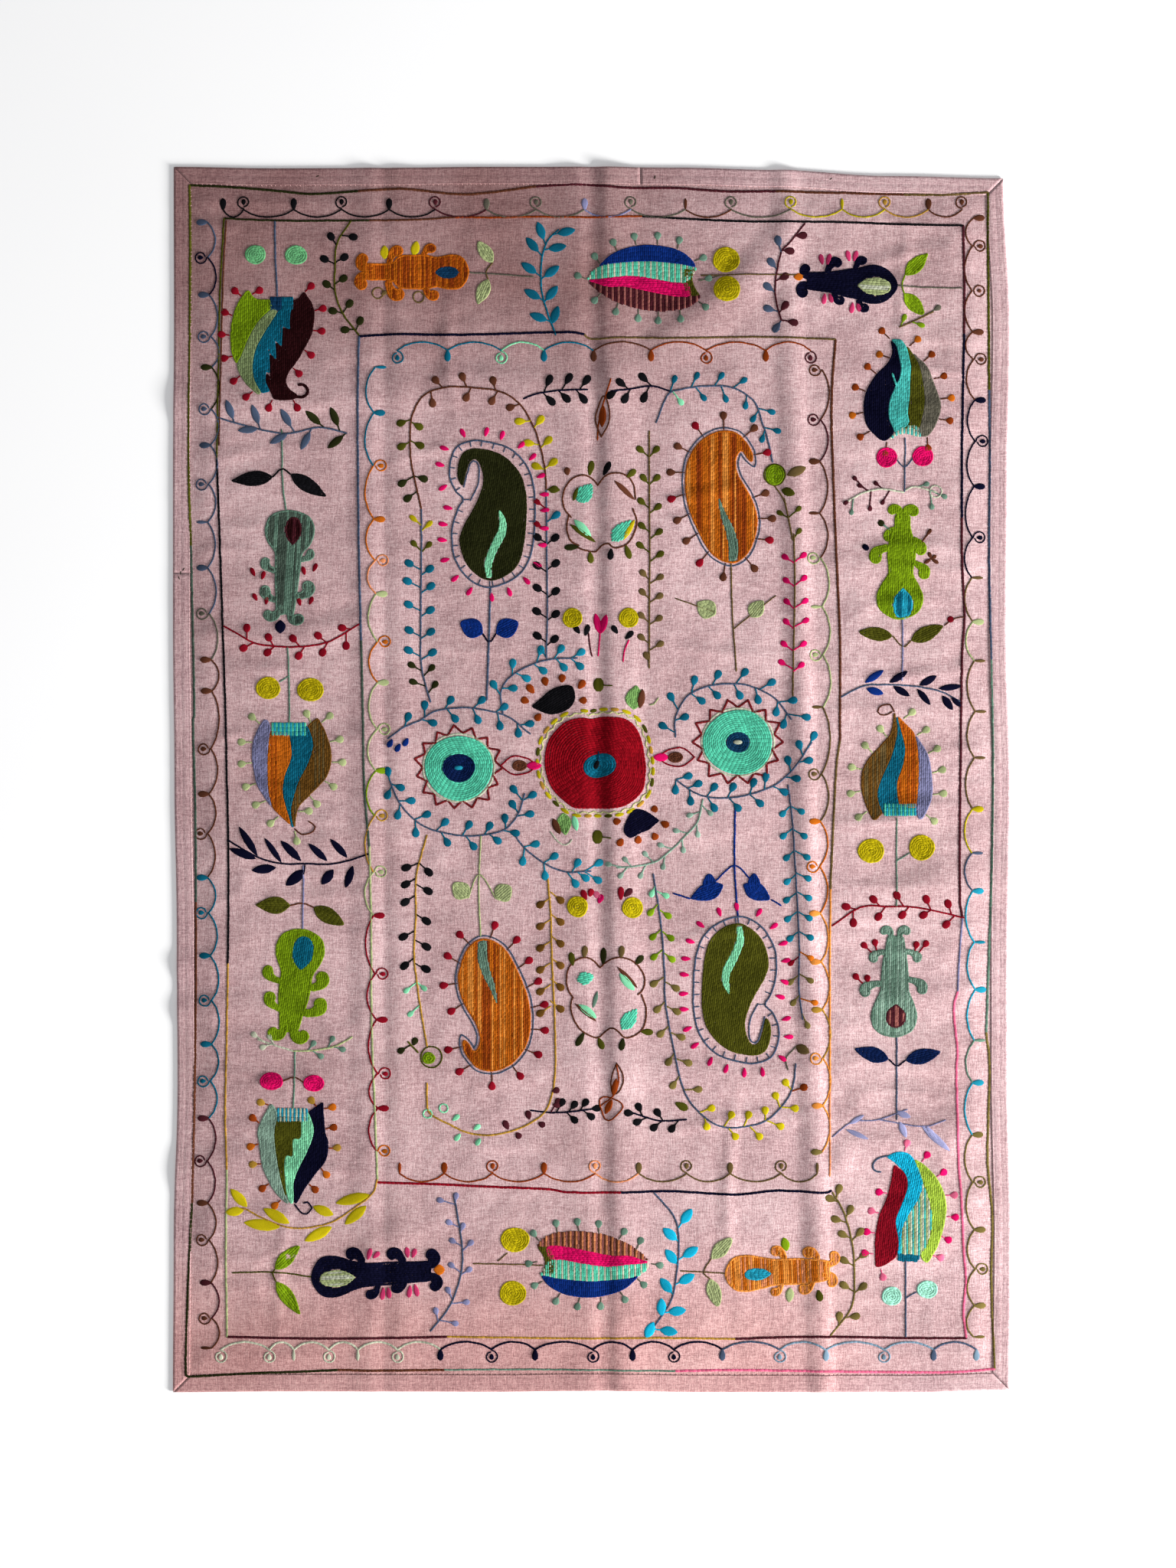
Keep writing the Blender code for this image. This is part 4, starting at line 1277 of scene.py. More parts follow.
# ---------------------------------------------------------------- the two columns at the sides
def left_column():
    line("slate", [(-569, 1003), (-568, 940), (-566, 900), (-565, 866)], 3.8)
    discs("jade", (-604, 942, 19, 17), (-531, 941, 20, 17))
    paisley(PAISLEY_B, ("lime", "sage", "teal", "maroon"), (-565, 861, 0, 1, 1), "dark_red", "dark_red",
            [(-13, 8, "steel"), (8, 29, "teal")], "maroon",
            [(30, -174), (48, -175), (56, -164), (49, -153), (39, -153)], 6.0)
    sprig("slate", [(-440, 622), (-490, 632), (-554, 621), (-636, 639), (-672, 650)], [
        ("slate", (36, 14), "leaf",
         [(-650, 664), (-604, 655), (-549, 649), (-617, 628), (-562, 612), (-514, 608)]),
        ("dark_olive", (36, 14), "leaf", [(-500, 649), (-462, 651), (-460, 606)])], lag=16)
    line("grey_green", [(-557, 628), (-556, 590), (-556, 559)], 3.4)
    leaves("black", ((-572, 543), (-648, 536), 27), ((-541, 548), (-476, 507), 26))
    line("black", [(-572, 543), (-556, 558), (-541, 548)], 3.6)
    line("grey_green", [(-556, 556), (-554, 520), (-549, 484)], 3.4)
    lobed(["grey_green", "moss_grey"], ["plum", "maroon"],
          [(-584, 390, 10), (-507, 406, 9), (-584, 339, 11), (-511, 345, 13)],
          [(-577, 298, 11), (-529, 291, 11)], (-551, 294), (-540, 484),
          [(0, 15), (45, 20), (80, 23), (110, 25), (127, 38), (152, 45), (178, 34), (190, 0)],
          (-536, 446, 52, 30))
    for x, y, tx, ty in ((-605, 370, -612, 380), (-592, 364, -588, 374), (-515, 372, -519, 382),
                         (-500, 378, -494, 388), (-601, 326, -608, 334), (-585, 319, -583, 329),
                         (-523, 317, -527, 327), (-507, 319, -501, 328)):
        bud("dark_red", (x, y - 5), (tx, ty), 7.0)
    leaf("navy", (-559, 286), (-559, 262), 20)
    sprig("dark_red",
          [(-417, 279), (-470, 248), (-512, 239), (-557, 238), (-605, 245), (-633, 260), (-660, 275)], [
        ("dark_red", (15, 13), "berry", [(-619, 272), (-580, 255), (-536, 253), (-491, 258), (-448, 272),
                                         (-625, 236), (-582, 228), (-526, 222), (-483, 228), (-441, 240)])])
    line("grey_green", [(-546, 238), (-544, 200), (-543, 150), (-543, 100)], 3.2)
    discs("yellow", (-581, 164, 22, 20), (-505, 161, 24, 21))
    line("grey_green", [(-543, 186), (-560, 176)], 3.0)
    paisley(PAISLEY_A, ("lilac", ["orange", "orange", "burnt"], "teal", ["umber", "umber", "khaki"]),
            (-543, 97, 0, 1, 1), "pale_green", "pale_green", [(-32, 30, ("turquoise", "cyan"))], "brown",
            [(10, -186), (24, -196), (43, -190), (46, -180), (35, -172)], 3.0, 12.0)
    sprig("navy", [(-399, -133), (-435, -145), (-473, -152), (-515, -151), (-557, -151), (-600, -139),
                   (-654, -108)], [])
    leaves("navy", ((-600, -137), (-633, -85), 14), ((-603, -142), (-650, -124), 15),
           ((-557, -149), (-587, -105), 11), ((-522, -146), (-558, -110), 15),
           ((-475, -146), (-508, -115), 13), ((-439, -140), (-469, -107), 13),
           ((-567, -158), (-610, -163), 17), ((-515, -162), (-549, -190), 20),
           ((-464, -162), (-485, -188), 18), ((-429, -155), (-442, -194), 15))
    line("navy", [(-515, -153), (-516, -163)], 3.0)
    line("lilac", [(-518, -155), (-518, -200), (-519, -268)], 3.2)
    leaves("olive", ((-541, -226), (-604, -225), 31), ((-500, -229), (-442, -262), 28))
    line("brown", [(-541, -226), (-519, -222), (-500, -229)], 3.2)
    lobed("lime", "teal", [(-579, -343, 11), (-486, -357, 14), (-576, -391, 12), (-490, -404, 14)],
          [(-568, -452, 12), (-522, -457, 13)], (-545, -456), (-518, -268),
          [(0, 15), (30, 21), (60, 27), (85, 29), (108, 29), (128, 39), (150, 44), (176, 34), (190, 0)],
          (-519, -312, 62, 38))
    sprig("cream", [(-536, -487), (-565, -478), (-600, -466)],
          [("cream", (13, 9), "petal", [(-590, -480), (-578, -462), (-606, -458)])])
    sprig("pale_green", [(-536, -487), (-500, -486), (-460, -478), (-430, -462)],
          [("grey_green", (13, 9), "petal", [(-500, -474), (-487, -496), (-466, -466), (-448, -484)])])
    line("grey_green", [(-533, -487), (-534, -540), (-536, -592)], 3.4)
    discs("magenta", (-575, -541, 21, 16), (-499, -545, 19, 15))
    line("brown", [(-555, -541), (-534, -534), (-518, -543)], 3.0)
    paisley(PAISLEY_C, ("pale_sage", "olive", "mint", "navy"), (-537, -595, 0, 1, 1),
            ("orange", "gold", "rust"), "rust", [(-28, 27, ("cyan", "cream"))], "navy",
            [(4, -168), (20, -185), (35, -175), (27, -163), (20, -165)])
    line("gold", [(-385, -717), (-395, -744), (-438, -777), (-471, -796), (-517, -805), (-556, -801),
                  (-599, -783), (-625, -770), (-656, -776)], 3.4)
    leaves("yellow", ((-398, -745), (-459, -760), 20), ((-405, -765), (-443, -798), 19),
           ((-464, -781), (-500, -766), 18), ((-467, -803), (-515, -828), 20),
           ((-543, -796), (-589, -770), 20), ((-560, -803), (-624, -795), 21),
           ((-619, -767), (-648, -735), 18), ((-625, -773), (-658, -777), 17))
    leaves("lime", ((-569, -879), (-522, -834), 25), ((-567, -900), (-523, -961), 25))
    line("olive", [(-645, -885), (-569, -884), (-504, -892)], 3.0)
    line("olive", [(-569, -879), (-574, -884), (-567, -900)], 3.0)


def right_column():
    leaves("lime", ((562, 905), (604, 945), 26), ((560, 872), (598, 832), 26))
    line("grey", [(549, 886), (600, 883), (664, 882)], 3.0)
    line("lime", [(562, 905), (556, 888), (560, 872)], 3.0)
    sprig("khaki", [(552, 812), (580, 824), (612, 840)],
          [("lime", (16, 8), "petal", [(560, 828), (590, 816)]), ("grey", (14, 9), "petal", [(620, 846)])])
    foot = place(PAISLEY_D_FOOT, 560, 614)
    shape(("aqua", "cream"), foot, 90.0, edge=False)
    whole = bands(PAISLEY_D, ("navy", "aqua", "olive", "grey"), 560, 614)
    line("aqua", [(539, 728), (546, 708)], 4.6, high=2.4)
    drops(whole, 14.0, 37.0, ("rust", "orange", "rust"), (13.0, 13.0), "brown", [(565, 604, 34.0)])
    line("slate", [(562, 612), (562, 570), (561, 516)], 3.0)
    discs("magenta", (529, 578, 19, 18), (594, 580, 19, 18))
    line("slate", [(545, 577), (561, 560), (577, 578)], 2.8)
    sprig("cream", [(560, 515), (520, 521), (485, 514), (459, 499)], [
        ("plum", (11, 7), "petal",
         [(472, 540), (510, 531), (481, 527), (456, 497), (499, 487), (522, 498)]),
        ("grey_green", (11, 7), "petal", [(466, 480)])])
    sprig("cream", [(562, 518), (580, 526), (618, 516)],
          [("grey_green", (12, 8), "petal", [(600, 530), (610, 490), (632, 508)])])
    ring("cream", 617, 517, 11)
    lobed("lime", ["cyan", "teal"], [(533, 436, 10), (588, 413, 12), (511, 399, 13), (594, 370, 12)],
          [(542, 481, 10), (574, 479, 11)], (558, 478), (551, 286),
          [(0, 13), (25, 15), (47, 23), (76, 26), (105, 22), (127, 34), (150, 42), (175, 33), (191, 0)],
          (558, 316, 56, 36))
    bud("navy", (496, 412), (486, 421), 9.0, "berry")
    sprig("grey_green", [(536, 447), (522, 458)], [("dark_olive", (12, 10), "berry", [(519, 460)])], lag=4)
    sprig("brown", [(590, 424), (602, 440)], [("brown", (14, 6), "petal", [(605, 444)])], lag=4)
    for tip in ((604, 408), (618, 402), (622, 388), (596, 388)):
        bud("brown", (609, 396), tip, 6.0)
    line("lilac", [(557, 288), (558, 240), (557, 205), (556, 178)], 3.2)
    leaves("olive", ((540, 257), (475, 266), 24), ((572, 249), (633, 277), 27))
    line("khaki", [(540, 257), (559, 238), (572, 249)], 3.0)
    bud("dark_red", (638, 286), (649, 289), 10.0, "berry")
    line("brown", [(633, 277), (650, 288), (668, 292)], 2.6)
    line("slate", [(445, 147), (488, 168), (531, 170), (582, 167), (625, 158), (661, 140)], 3.4)
    for base, tip, broad in (((490, 174), (523, 196), 13), ((534, 174), (566, 194), 13),
                             ((588, 169), (618, 186), 14), ((622, 163), (664, 168), 12),
                             ((493, 163), (523, 154), 14), ((541, 167), (570, 150), 13),
                             ((584, 162), (607, 134), 12), ((629, 150), (647, 125), 14),
                             ((645, 148), (663, 130), 10)):
        leaf("navy" if base[0] > 530 else "blue", base, tip, broad)
    paisley(PAISLEY_A, ("lilac", ["orange", "orange", "burnt"], "teal", ["umber", "umber", "khaki"]),
            (551, -61, 180, 0.9, 0.98), "pale_green", "pale_green", [(-34, 30, ("turquoise", "cyan"))],
            "brown", [(10, -186), (18, -200), (38, -196), (42, -184), (28, -180), (14, -186)], 3.0, 12.0)
    line("grey_green", [(547, -70), (547, -150), (547, -227)], 3.0)
    discs("yellow", (501, -128, 24, 22), (592, -122, 23, 23))
    line("grey_green", [(547, -146), (570, -132)], 2.8)
    sprig("dark_red", [(667, -248), (612, -235), (568, -228), (531, -228), (483, -229), (431, -262)], [
        ("dark_red", (16, 12), "berry", [(456, -228), (505, -215), (547, -208), (600, -215), (639, -223),
                                         (469, -257), (514, -246), (557, -243), (595, -243), (636, -260)])])
    lobed(["grey_green", "pale_sage", "pale_sage"], ["plum", "rose"],
          [(507, -321, 9), (582, -321, 9), (492, -380, 11), (590, -375, 11)],
          [(527, -274, 9), (562, -274, 9)], (545, -278), (541, -463),
          [(0, 13), (20, 18), (60, 24), (98, 26), (120, 35), (147, 42), (172, 31), (185, 0)],
          (545, -424, 44, 36))
    for x, y, foot in ((489, -298, (508, -316)), (508, -293, (512, -314)), (582, -297, (578, -316)),
                       (599, -295, (582, -316)), (474, -354, (490, -370)), (494, -357, (496, -370))):
        stalked("dark_red", "dark_red", foot, (x, y), (14, 10))
    line("slate", [(547, -463), (547, -515), (547, -610)], 3.4)
    leaves("deep_blue", ((533, -502), (470, -483), 27), ((562, -504), (628, -488), 27))
    line("navy", [(533, -502), (547, -514), (562, -504)], 3.2)
    line("lilac", [(432, -641), (466, -615), (514, -610), (566, -592)], 2.8)
    line("lilac", [(514, -610), (592, -622), (634, -611)], 2.8)
    for base, tip, broad in (((462, -618), (488, -602), 11), ((456, -628), (496, -645), 11),
                             ((546, -596), (572, -606), 14), ((552, -614), (564, -642), 15),
                             ((592, -622), (642, -666), 16), ((600, -622), (622, -652), 12)):
        leaf("pale_lilac", base, tip, 0.85 * broad)
    red_edge = [(563, -709), (566, -733), (554, -766), (545, -793), (550, -828), (548, -853)]
    cyan_edge = [(594, -724), (587, -750), (571, -776), (558, -802), (554, -828), (554, -851)]
    lime_edge = [(606, -759), (610, -795), (603, -829), (589, -853)]
    shape("dark_red", [(542, -690), (542, -690), *red_edge, (528, -870), (509, -877), (509, -877),
                       (508, -828), (515, -785), (532, -742)], 84.0)
    shape("bright_cyan", [(528, -677), (528, -677), (549, -668), (571, -673), (584, -694), *cyan_edge,
                          *red_edge[::-1], (543, -687)], 78.0)
    shape(("aqua", "cream", "pale_green"),
          [(594, -724), (594, -724), *lime_edge, (572, -853), *cyan_edge[:0:-1]], 90.0, edge=False)
    shape("light_lime", [(577, -680), (577, -680), (597, -692), (620, -717), (635, -754), (633, -795),
                         (620, -838), (601, -870), (601, -870), *lime_edge[::-1], (594, -724), (584, -697)],
          86.0)
    fill("teal",
         even(np.array([(549, -850), (588, -853), (585, -865), (551, -864), (549, -850)], float), 2.0)[:-1],
         90.0, edge=False, high=1.6)
    whole = soft([(528, -677), (549, -668), (577, -675), (620, -717), (635, -754), (633, -795), (601, -870),
                  (585, -865), (551, -864), (509, -877), (508, -828), (515, -785), (532, -742),
                  (543, -695)], closed=True)
    drops(whole, 9.0, 37.0, ("magenta", "pink", "magenta"), (14.0, 13.0), "pink",
          [(565, -884, 27.0), (512, -688, 26.0)])
    line("slate", [(532, -675), (517, -678), (505, -688), (507, -702), (519, -704)], 3.6)
    line("slate", [(563, -860), (563, -930), (563, -1000)], 3.4)
    discs("pale_mint", (538, -927, 18, 17), (602, -915, 19, 16))
    line("slate", [(564, -930), (582, -920)], 2.8)
    sprig("drab", [(428, -998), (466, -946), (471, -890), (468, -838), (453, -779), (432, -741)], [
        ("drab", (19, 12), "petal",
         [(443, -735), (428, -752), (463, -772), (438, -789), (481, -812), (450, -816), (488, -852),
          (453, -863), (486, -910), (453, -908), (472, -963), (444, -964)])])


# ---------------------------------------------------------------- top and bottom bands
def top_band():
    sprig("olive", [(-432, 1003), (-457, 962), (-461, 919), (-461, 877), (-448, 838), (-418, 797)], [
        ("black", (16, 13), "berry", [(-468, 974), (-428, 973), (-480, 934), (-444, 937)]),
        ("dark_olive", (16, 12), "berry",
         [(-476, 889), (-465, 841), (-443, 807), (-446, 899), (-435, 854), (-416, 823)])], lag=-10)
    lobed(["orange", "burnt", "rust"], "steel",
          [(-348, 946, 11), (-288, 952, 10), (-348, 873, 13), (-284, 871, 11)],
          [(-408, 930, 12), (-410, 892, 12)], (-410, 911), (-220, 911),
          [(0, 14), (30, 15), (50, 17), (62, 29), (90, 31), (110, 31), (130, 27), (150, 31), (174, 28),
           (190, 0)], (-261, 910, 44, 22), stripes=True)
    leaves("yellow", ((-372, 934), (-372, 958), 16), ((-320, 940), (-314, 966), 16))
    ring("khaki", -384, 873, 10)
    ring("khaki", -311, 866, 10)
    bud("khaki", (-378, 870), (-368, 876), 7)
    line("grey", [(-220, 910), (-170, 907), (-105, 902)], 3.0)
    leaves("pale_green", ((-178, 928), (-206, 968), 24), ((-186, 898), (-206, 852), 24))
    line("khaki", [(-178, 928), (-190, 912), (-186, 898)], 2.8)
    sprig("teal", [(-65, 798), (-81, 841), (-90, 877), (-91, 926), (-81, 965), (-60, 987)], [
        ("teal", (33, 16), "leaf", [(-92, 985), (-107, 960), (-113, 918), (-107, 871), (-96, 830),
                                    (-46, 983), (-62, 955), (-72, 912), (-72, 873), (-66, 834)])], lag=14)
    shell(False)
    line("grey", [(192, 896), (215, 900), (229, 905)], 3.0)
    discs("yellow", (241, 933, 24, 23), (242, 880, 24, 23))
    line("khaki", [(196, 905), (300, 906), (383, 905)], 2.8)
    sprig("plum", [(382, 998), (354, 962), (339, 944), (329, 891), (331, 856), (340, 824)], [
        ("slate", (20, 13), "petal", [(334, 966), (322, 927), (316, 884), (317, 845), (331, 811)]),
        ("plum", (19, 12), "petal", [(377, 976), (354, 948), (345, 902), (346, 850), (361, 820)])], lag=-10)
    leaf("orange", (380, 903), (362, 901), 14)
    lobed("navy", ["pale_green", "cream"], [(439, 926, 11), (486, 930, 9), (446, 861, 9), (490, 848, 9)],
          [(386, 914, 10), (381, 877, 11)], (383, 895), (549, 886),
          [(0, 14), (20, 17), (50, 20), (70, 25), (90, 28), (110, 34), (130, 34), (150, 24), (166, 0)],
          (506, 885, 62, 32))
    figure_buds((414, 924, 411, 938), (422, 922, 426, 938), (462, 930, 459, 944), (470, 930, 474, 944),
                (418, 872, 416, 858), (426, 872, 430, 860), (468, 856, 466, 842), (476, 856, 480, 844))


def bottom_band():
    lobed("navy", ["pale_green", "cream"],
          [(-430, -853, 13), (-357, -853, 13), (-397, -922, 10), (-351, -911, 11)],
          [(-290, -857, 13), (-284, -905, 12)], (-286, -882), (-504, -894),
          [(0, 17), (30, 19), (80, 21), (120, 22), (145, 28), (166, 36), (190, 37), (206, 26), (218, 0)],
          (-456, -895, 66, 30))
    figure_buds((-402, -861, -398, -846), (-392, -858, -384, -850), (-330, -858, -332, -844),
                (-322, -858, -318, -846), (-374, -912, -376, -928), (-366, -912, -364, -926),
                (-326, -908, -328, -924), (-318, -906, -314, -922))
    leaf("orange", (-284, -880), (-264, -880), 20)
    sprig("slate", [(-290, -990), (-258, -950), (-238, -900), (-232, -850), (-240, -790), (-248, -745)], [
        ("lilac", (14, 9), "petal",
         [(-272, -755), (-244, -748), (-256, -795), (-232, -802), (-250, -828), (-218, -832), (-252, -872),
          (-221, -880), (-258, -917), (-226, -938), (-280, -954), (-246, -976)])])
    line("khaki", [(-213, -869), (-150, -870), (-88, -872)], 2.8)
    discs("yellow", (-138, -826, 26, 22), (-142, -922, 24, 22))
    line("khaki", [(-168, -864), (-152, -850)], 2.6)
    shell(True)
    sprig("slate", [(112, -742), (149, -788), (156, -839), (151, -894), (140, -940), (98, -1000)], [
        ("bright_cyan", (32, 18), "leaf",
         [(170, -784), (177, -848), (170, -896), (153, -954), (138, -990), (140, -816), (142, -856),
          (133, -908), (125, -947), (104, -988)])], lag=-14)
    line("khaki", [(160, -882), (200, -884), (238, -886)], 2.8)
    leaves("pale_green", ((214, -860), (254, -820), 26), ((212, -896), (228, -950), 26))
    line("khaki", [(214, -860), (200, -884), (212, -896)], 2.8)
    lobed(["amber", "orange", "peach"], "cyan",
          [(330, -848, 11), (388, -850, 12), (328, -918, 9), (380, -913, 11)],
          [(432, -857, 10), (428, -900, 10)], (430, -880), (238, -888),
          [(0, 14), (15, 20), (50, 23), (70, 24), (100, 24), (125, 29), (150, 33), (175, 28), (192, 0)],
          (298, -888, 50, 22), stripes=True)
    leaf("lime", (350, -846), (344, -822), 16)
    leaf("pale_green", (356, -912), (354, -938), 16)
    bud("olive", (406, -916), (410, -936), 13)


# ---------------------------------------------------------------- middle panel
def medallion(cx, cy, loops, knobs, pads):
    """An open flower of looped lines round a centre, which all its points are measured from."""
    for points in loops:
        line("brown", [(cx + x, cy + y) for x, y in points], 3.4)
    for x, y, tip_x, tip_y, dye in knobs:
        bud(dye, (cx + x, cy + y), (cx + tip_x, cy + tip_y), 10.0)
    for dye, base, tip, broad in pads:
        leaf(dye, (cx + base[0], cy + base[1]), (cx + tip[0], cy + tip[1]), broad, edge=False)


def middle_top():
    sprig("brown",
          [(-82, 520), (-84, 555), (-92, 596), (-106, 636), (-128, 672), (-159, 694), (-202, 702),
           (-258, 704), (-300, 690), (-322, 655), (-326, 620), (-325, 575), (-316, 530), (-306, 486)], [
        ("yellow", (20, 13), "petal",
         [(-129, 643), (-93, 645), (-113, 604), (-79, 608), (-99, 562), (-70, 569)]),
        ("brown", (17, 12), "petal",
         [(-232, 722), (-177, 715), (-225, 686), (-179, 680), (-146, 668), (-280, 716), (-286, 676)]),
        ("olive", (18, 13), "petal", [(-342, 640), (-311, 634), (-341, 598), (-309, 600), (-69, 521)]),
        ("dark_olive", (18, 13), "petal", [(-340, 532), (-303, 540), (-330, 505)])], lag=9)
    tear("dark_olive", "magenta", -184, 357, 0)
    line("slate", [(-182, 345), (-185, 250), (-189, 142)], 4.4)
    leaves("blue", ((-196, 262), (-238, 284), 36), ((-172, 262), (-130, 284), 36))
    line("navy", [(-196, 262), (-184, 246), (-172, 262)], 3.4)
    left = [(-290, 139), (-300, 175), (-307, 214), (-307, 300), (-306, 400), (-306, 486)]
    sprig("slate", left, [
        ("teal", (17, 14), "berry", [(-328, 388), (-331, 356), (-329, 314), (-328, 268), (-329, 232),
                                     (-291, 378), (-289, 347), (-290, 304), (-289, 265), (-286, 228)]),
        ("yellow", (18, 8), "petal", [(-320, 468), (-293, 458)]),
        ("olive", (15, 9), "petal", [(-319, 423), (-293, 421)]),
        ("dark_olive", (16, 10), "petal", [(-323, 205), (-288, 200), (-320, 175), (-282, 170)])])
    right = [(-82, 218), (-80, 300), (-81, 400), (-82, 520)]
    sprig("slate", right, [
        ("black", (17, 13), "berry", [(-98, 435), (-66, 434), (-98, 384), (-65, 388), (-98, 344),
                                      (-65, 338), (-99, 302), (-65, 297), (-98, 258), (-67, 252)]),
        ("dark_red", (15, 9), "petal", [(-98, 498), (-98, 458)]), ("teal", (20, 11), "petal", [(-65, 474)]),
        ("teal", (15, 9), "petal", [(-90, 232)])])
    sprig("navy", [(-122, 683), (-99, 692), (-60, 698), (-8, 700)], [
        ("black", (22, 14), "petal",
         [(-77, 716), (-42, 719), (-10, 716), (-74, 680), (-47, 685), (-16, 684)])])
    sprig("navy", [(140, 697), (108, 706), (72, 701), (34, 696)],
          [("black", (21, 14), "petal", [(92, 721), (52, 711), (34, 690), (60, 684), (94, 686)])])
    line("rust", [(34, 718), (22, 680), (12, 640), (10, 610)], 3.2)
    outlined("brown", [(17, 615), (17, 615), (30, 640), (31, 665), (22, 690), (12, 670), (6, 645)], 3.2)
    leaf("rust", (18, 632), (20, 672), 14)
    loops = [[(-49.5, -9.9), (-61.8, 5.9), (-65.3, 27), (-60, 44.5), (-47.8, 60.3), (-28.5, 66.4),
              (-14.5, 62), (-2.2, 48), (-2.2, 48), (10, 63.8), (27.6, 70), (48.7, 65.6), (62.7, 48),
              (65.4, 23.5)], [(61, 6), (68, -17), (62.7, -39.7), (48.7, -59), (27.6, -65.1), (18.9, -57.2),
                              (6.6, -58.1), (-5.7, -71.2), (-21.5, -69.5), (-42.5, -62.5)],
             [(-54, -4), (-58, -30), (-50, -52), (-36, -60)]]
    knobs = [(-56, 66, -58, 80, "brown"), (-17, 66, -12, 92, "olive"), (8, 66, 20, 90, "black"),
             (50, 62, 66, 76, "olive"), (-70, 40, -90, 40, "olive"), (-36, -62, -62, -64, "dark_olive"),
             (-16, -72, -14, -92, "olive"), (22, -66, 20, -86, "black"), (48, -60, 56, -84, "olive")]
    pads = [("turquoise", (-38, 18), (-12, 50), 28), ("olive", (-46, 20), (-38, 44), 9),
            ("turquoise", (24, -52), (56, -16), 26), ("yellow", (44, -50), (64, -14), 10),
            ("brown", (28, 56), (64, 22), 10), ("mint", (-44, -14), (-14, -46), 16),
            ("olive", (-52, -22), (-6, -54), 11)]
    medallion(12.6, 480, loops, knobs, pads)
    sprig("khaki", [(103, 200), (103, 300), (104, 400), (103, 520), (103, 625)], [
        ("olive", (17, 10), "petal", [(87, 592), (93, 541), (89, 499), (90, 455), (87, 420), (115, 592),
                                      (116, 541), (118, 489), (120, 444), (122, 404)]),
        ("khaki", (16, 10), "petal", [(92, 370), (91, 336), (89, 294), (89, 255), (98, 222), (122, 363),
                                      (121, 329), (120, 289), (122, 243)])])
    sprig("slate", [(115, 640), (136, 690), (161, 700), (200, 706), (250, 704), (290, 680), (306, 640),
                    (318, 600), (324, 570)], [
        ("teal", (16, 9), "petal", [(148, 718), (188, 724), (232, 724), (272, 716), (200, 686), (240, 684),
                                    (276, 672), (290, 648), (322, 660), (332, 626), (306, 612)]),
        ("mint", (15, 9), "petal", [(159, 678)])])
    disc("lime", 328, 547, 17, 19)
    ring("olive", 328, 547, 19)
    leaf("khaki", (350, 546), (384, 560), 18)
    leaf("olive", (340, 520), (364, 512), 16)
    line("khaki", [(328, 528), (345, 500), (352, 470), (360, 430)], 3.0)
    sprig("khaki", [(360, 430), (352, 470), (345, 505)],
          [("olive", (14, 8), "petal", [(370, 485), (338, 478), (371, 445)])])
    bean(252, 388, 0, ("brown", "dark_red", "brown"))
    sprig("khaki", [(360, 150), (362, 250), (364, 350), (362, 440)], [
        ("magenta", (15, 9), "petal",
         [(347, 399), (349, 357), (350, 319), (349, 283), (345, 243), (341, 210), (379, 402), (380, 361),
          (382, 320), (383, 285), (379, 243), (375, 205)])])
    line("khaki", [(250, 388), (252, 300), (259, 195)], 3.2)
    leaves("pale_green", ((222, 296), (188, 318), 36), ((284, 292), (308, 322), 30))
    line("khaki", [(222, 300), (150, 325)], 2.6)
    line("khaki", [(254, 270), (284, 294), (330, 330)], 2.6)
    for x, dye in ((-35, "yellow"), (66, "yellow")):
        disc(dye, x, 290, 18)
    leaves("magenta", ((14, 262), (6, 298), 14), ((16, 262), (26, 296), 14))
    line("magenta", [(15, 270), (13, 245), (11, 222)], 3.0)
    line("magenta", [(66, 250), (58, 230), (56, 212)], 3.0)
    line("plum", [(-6, 262), (-4, 240), (0, 222)], 3.0)
    buds("black", 9.0, (-22, 262, -32, 276), (-12, 258, -6, 278), (46, 262, 36, 276), (60, 252, 74, 266))


def wreath(stem, centres, dye="teal", size=(18, 13)):
    sprig("slate", stem, [(dye, size, "petal", centres)], lag=12)


EYE = (14.0, 25.0)


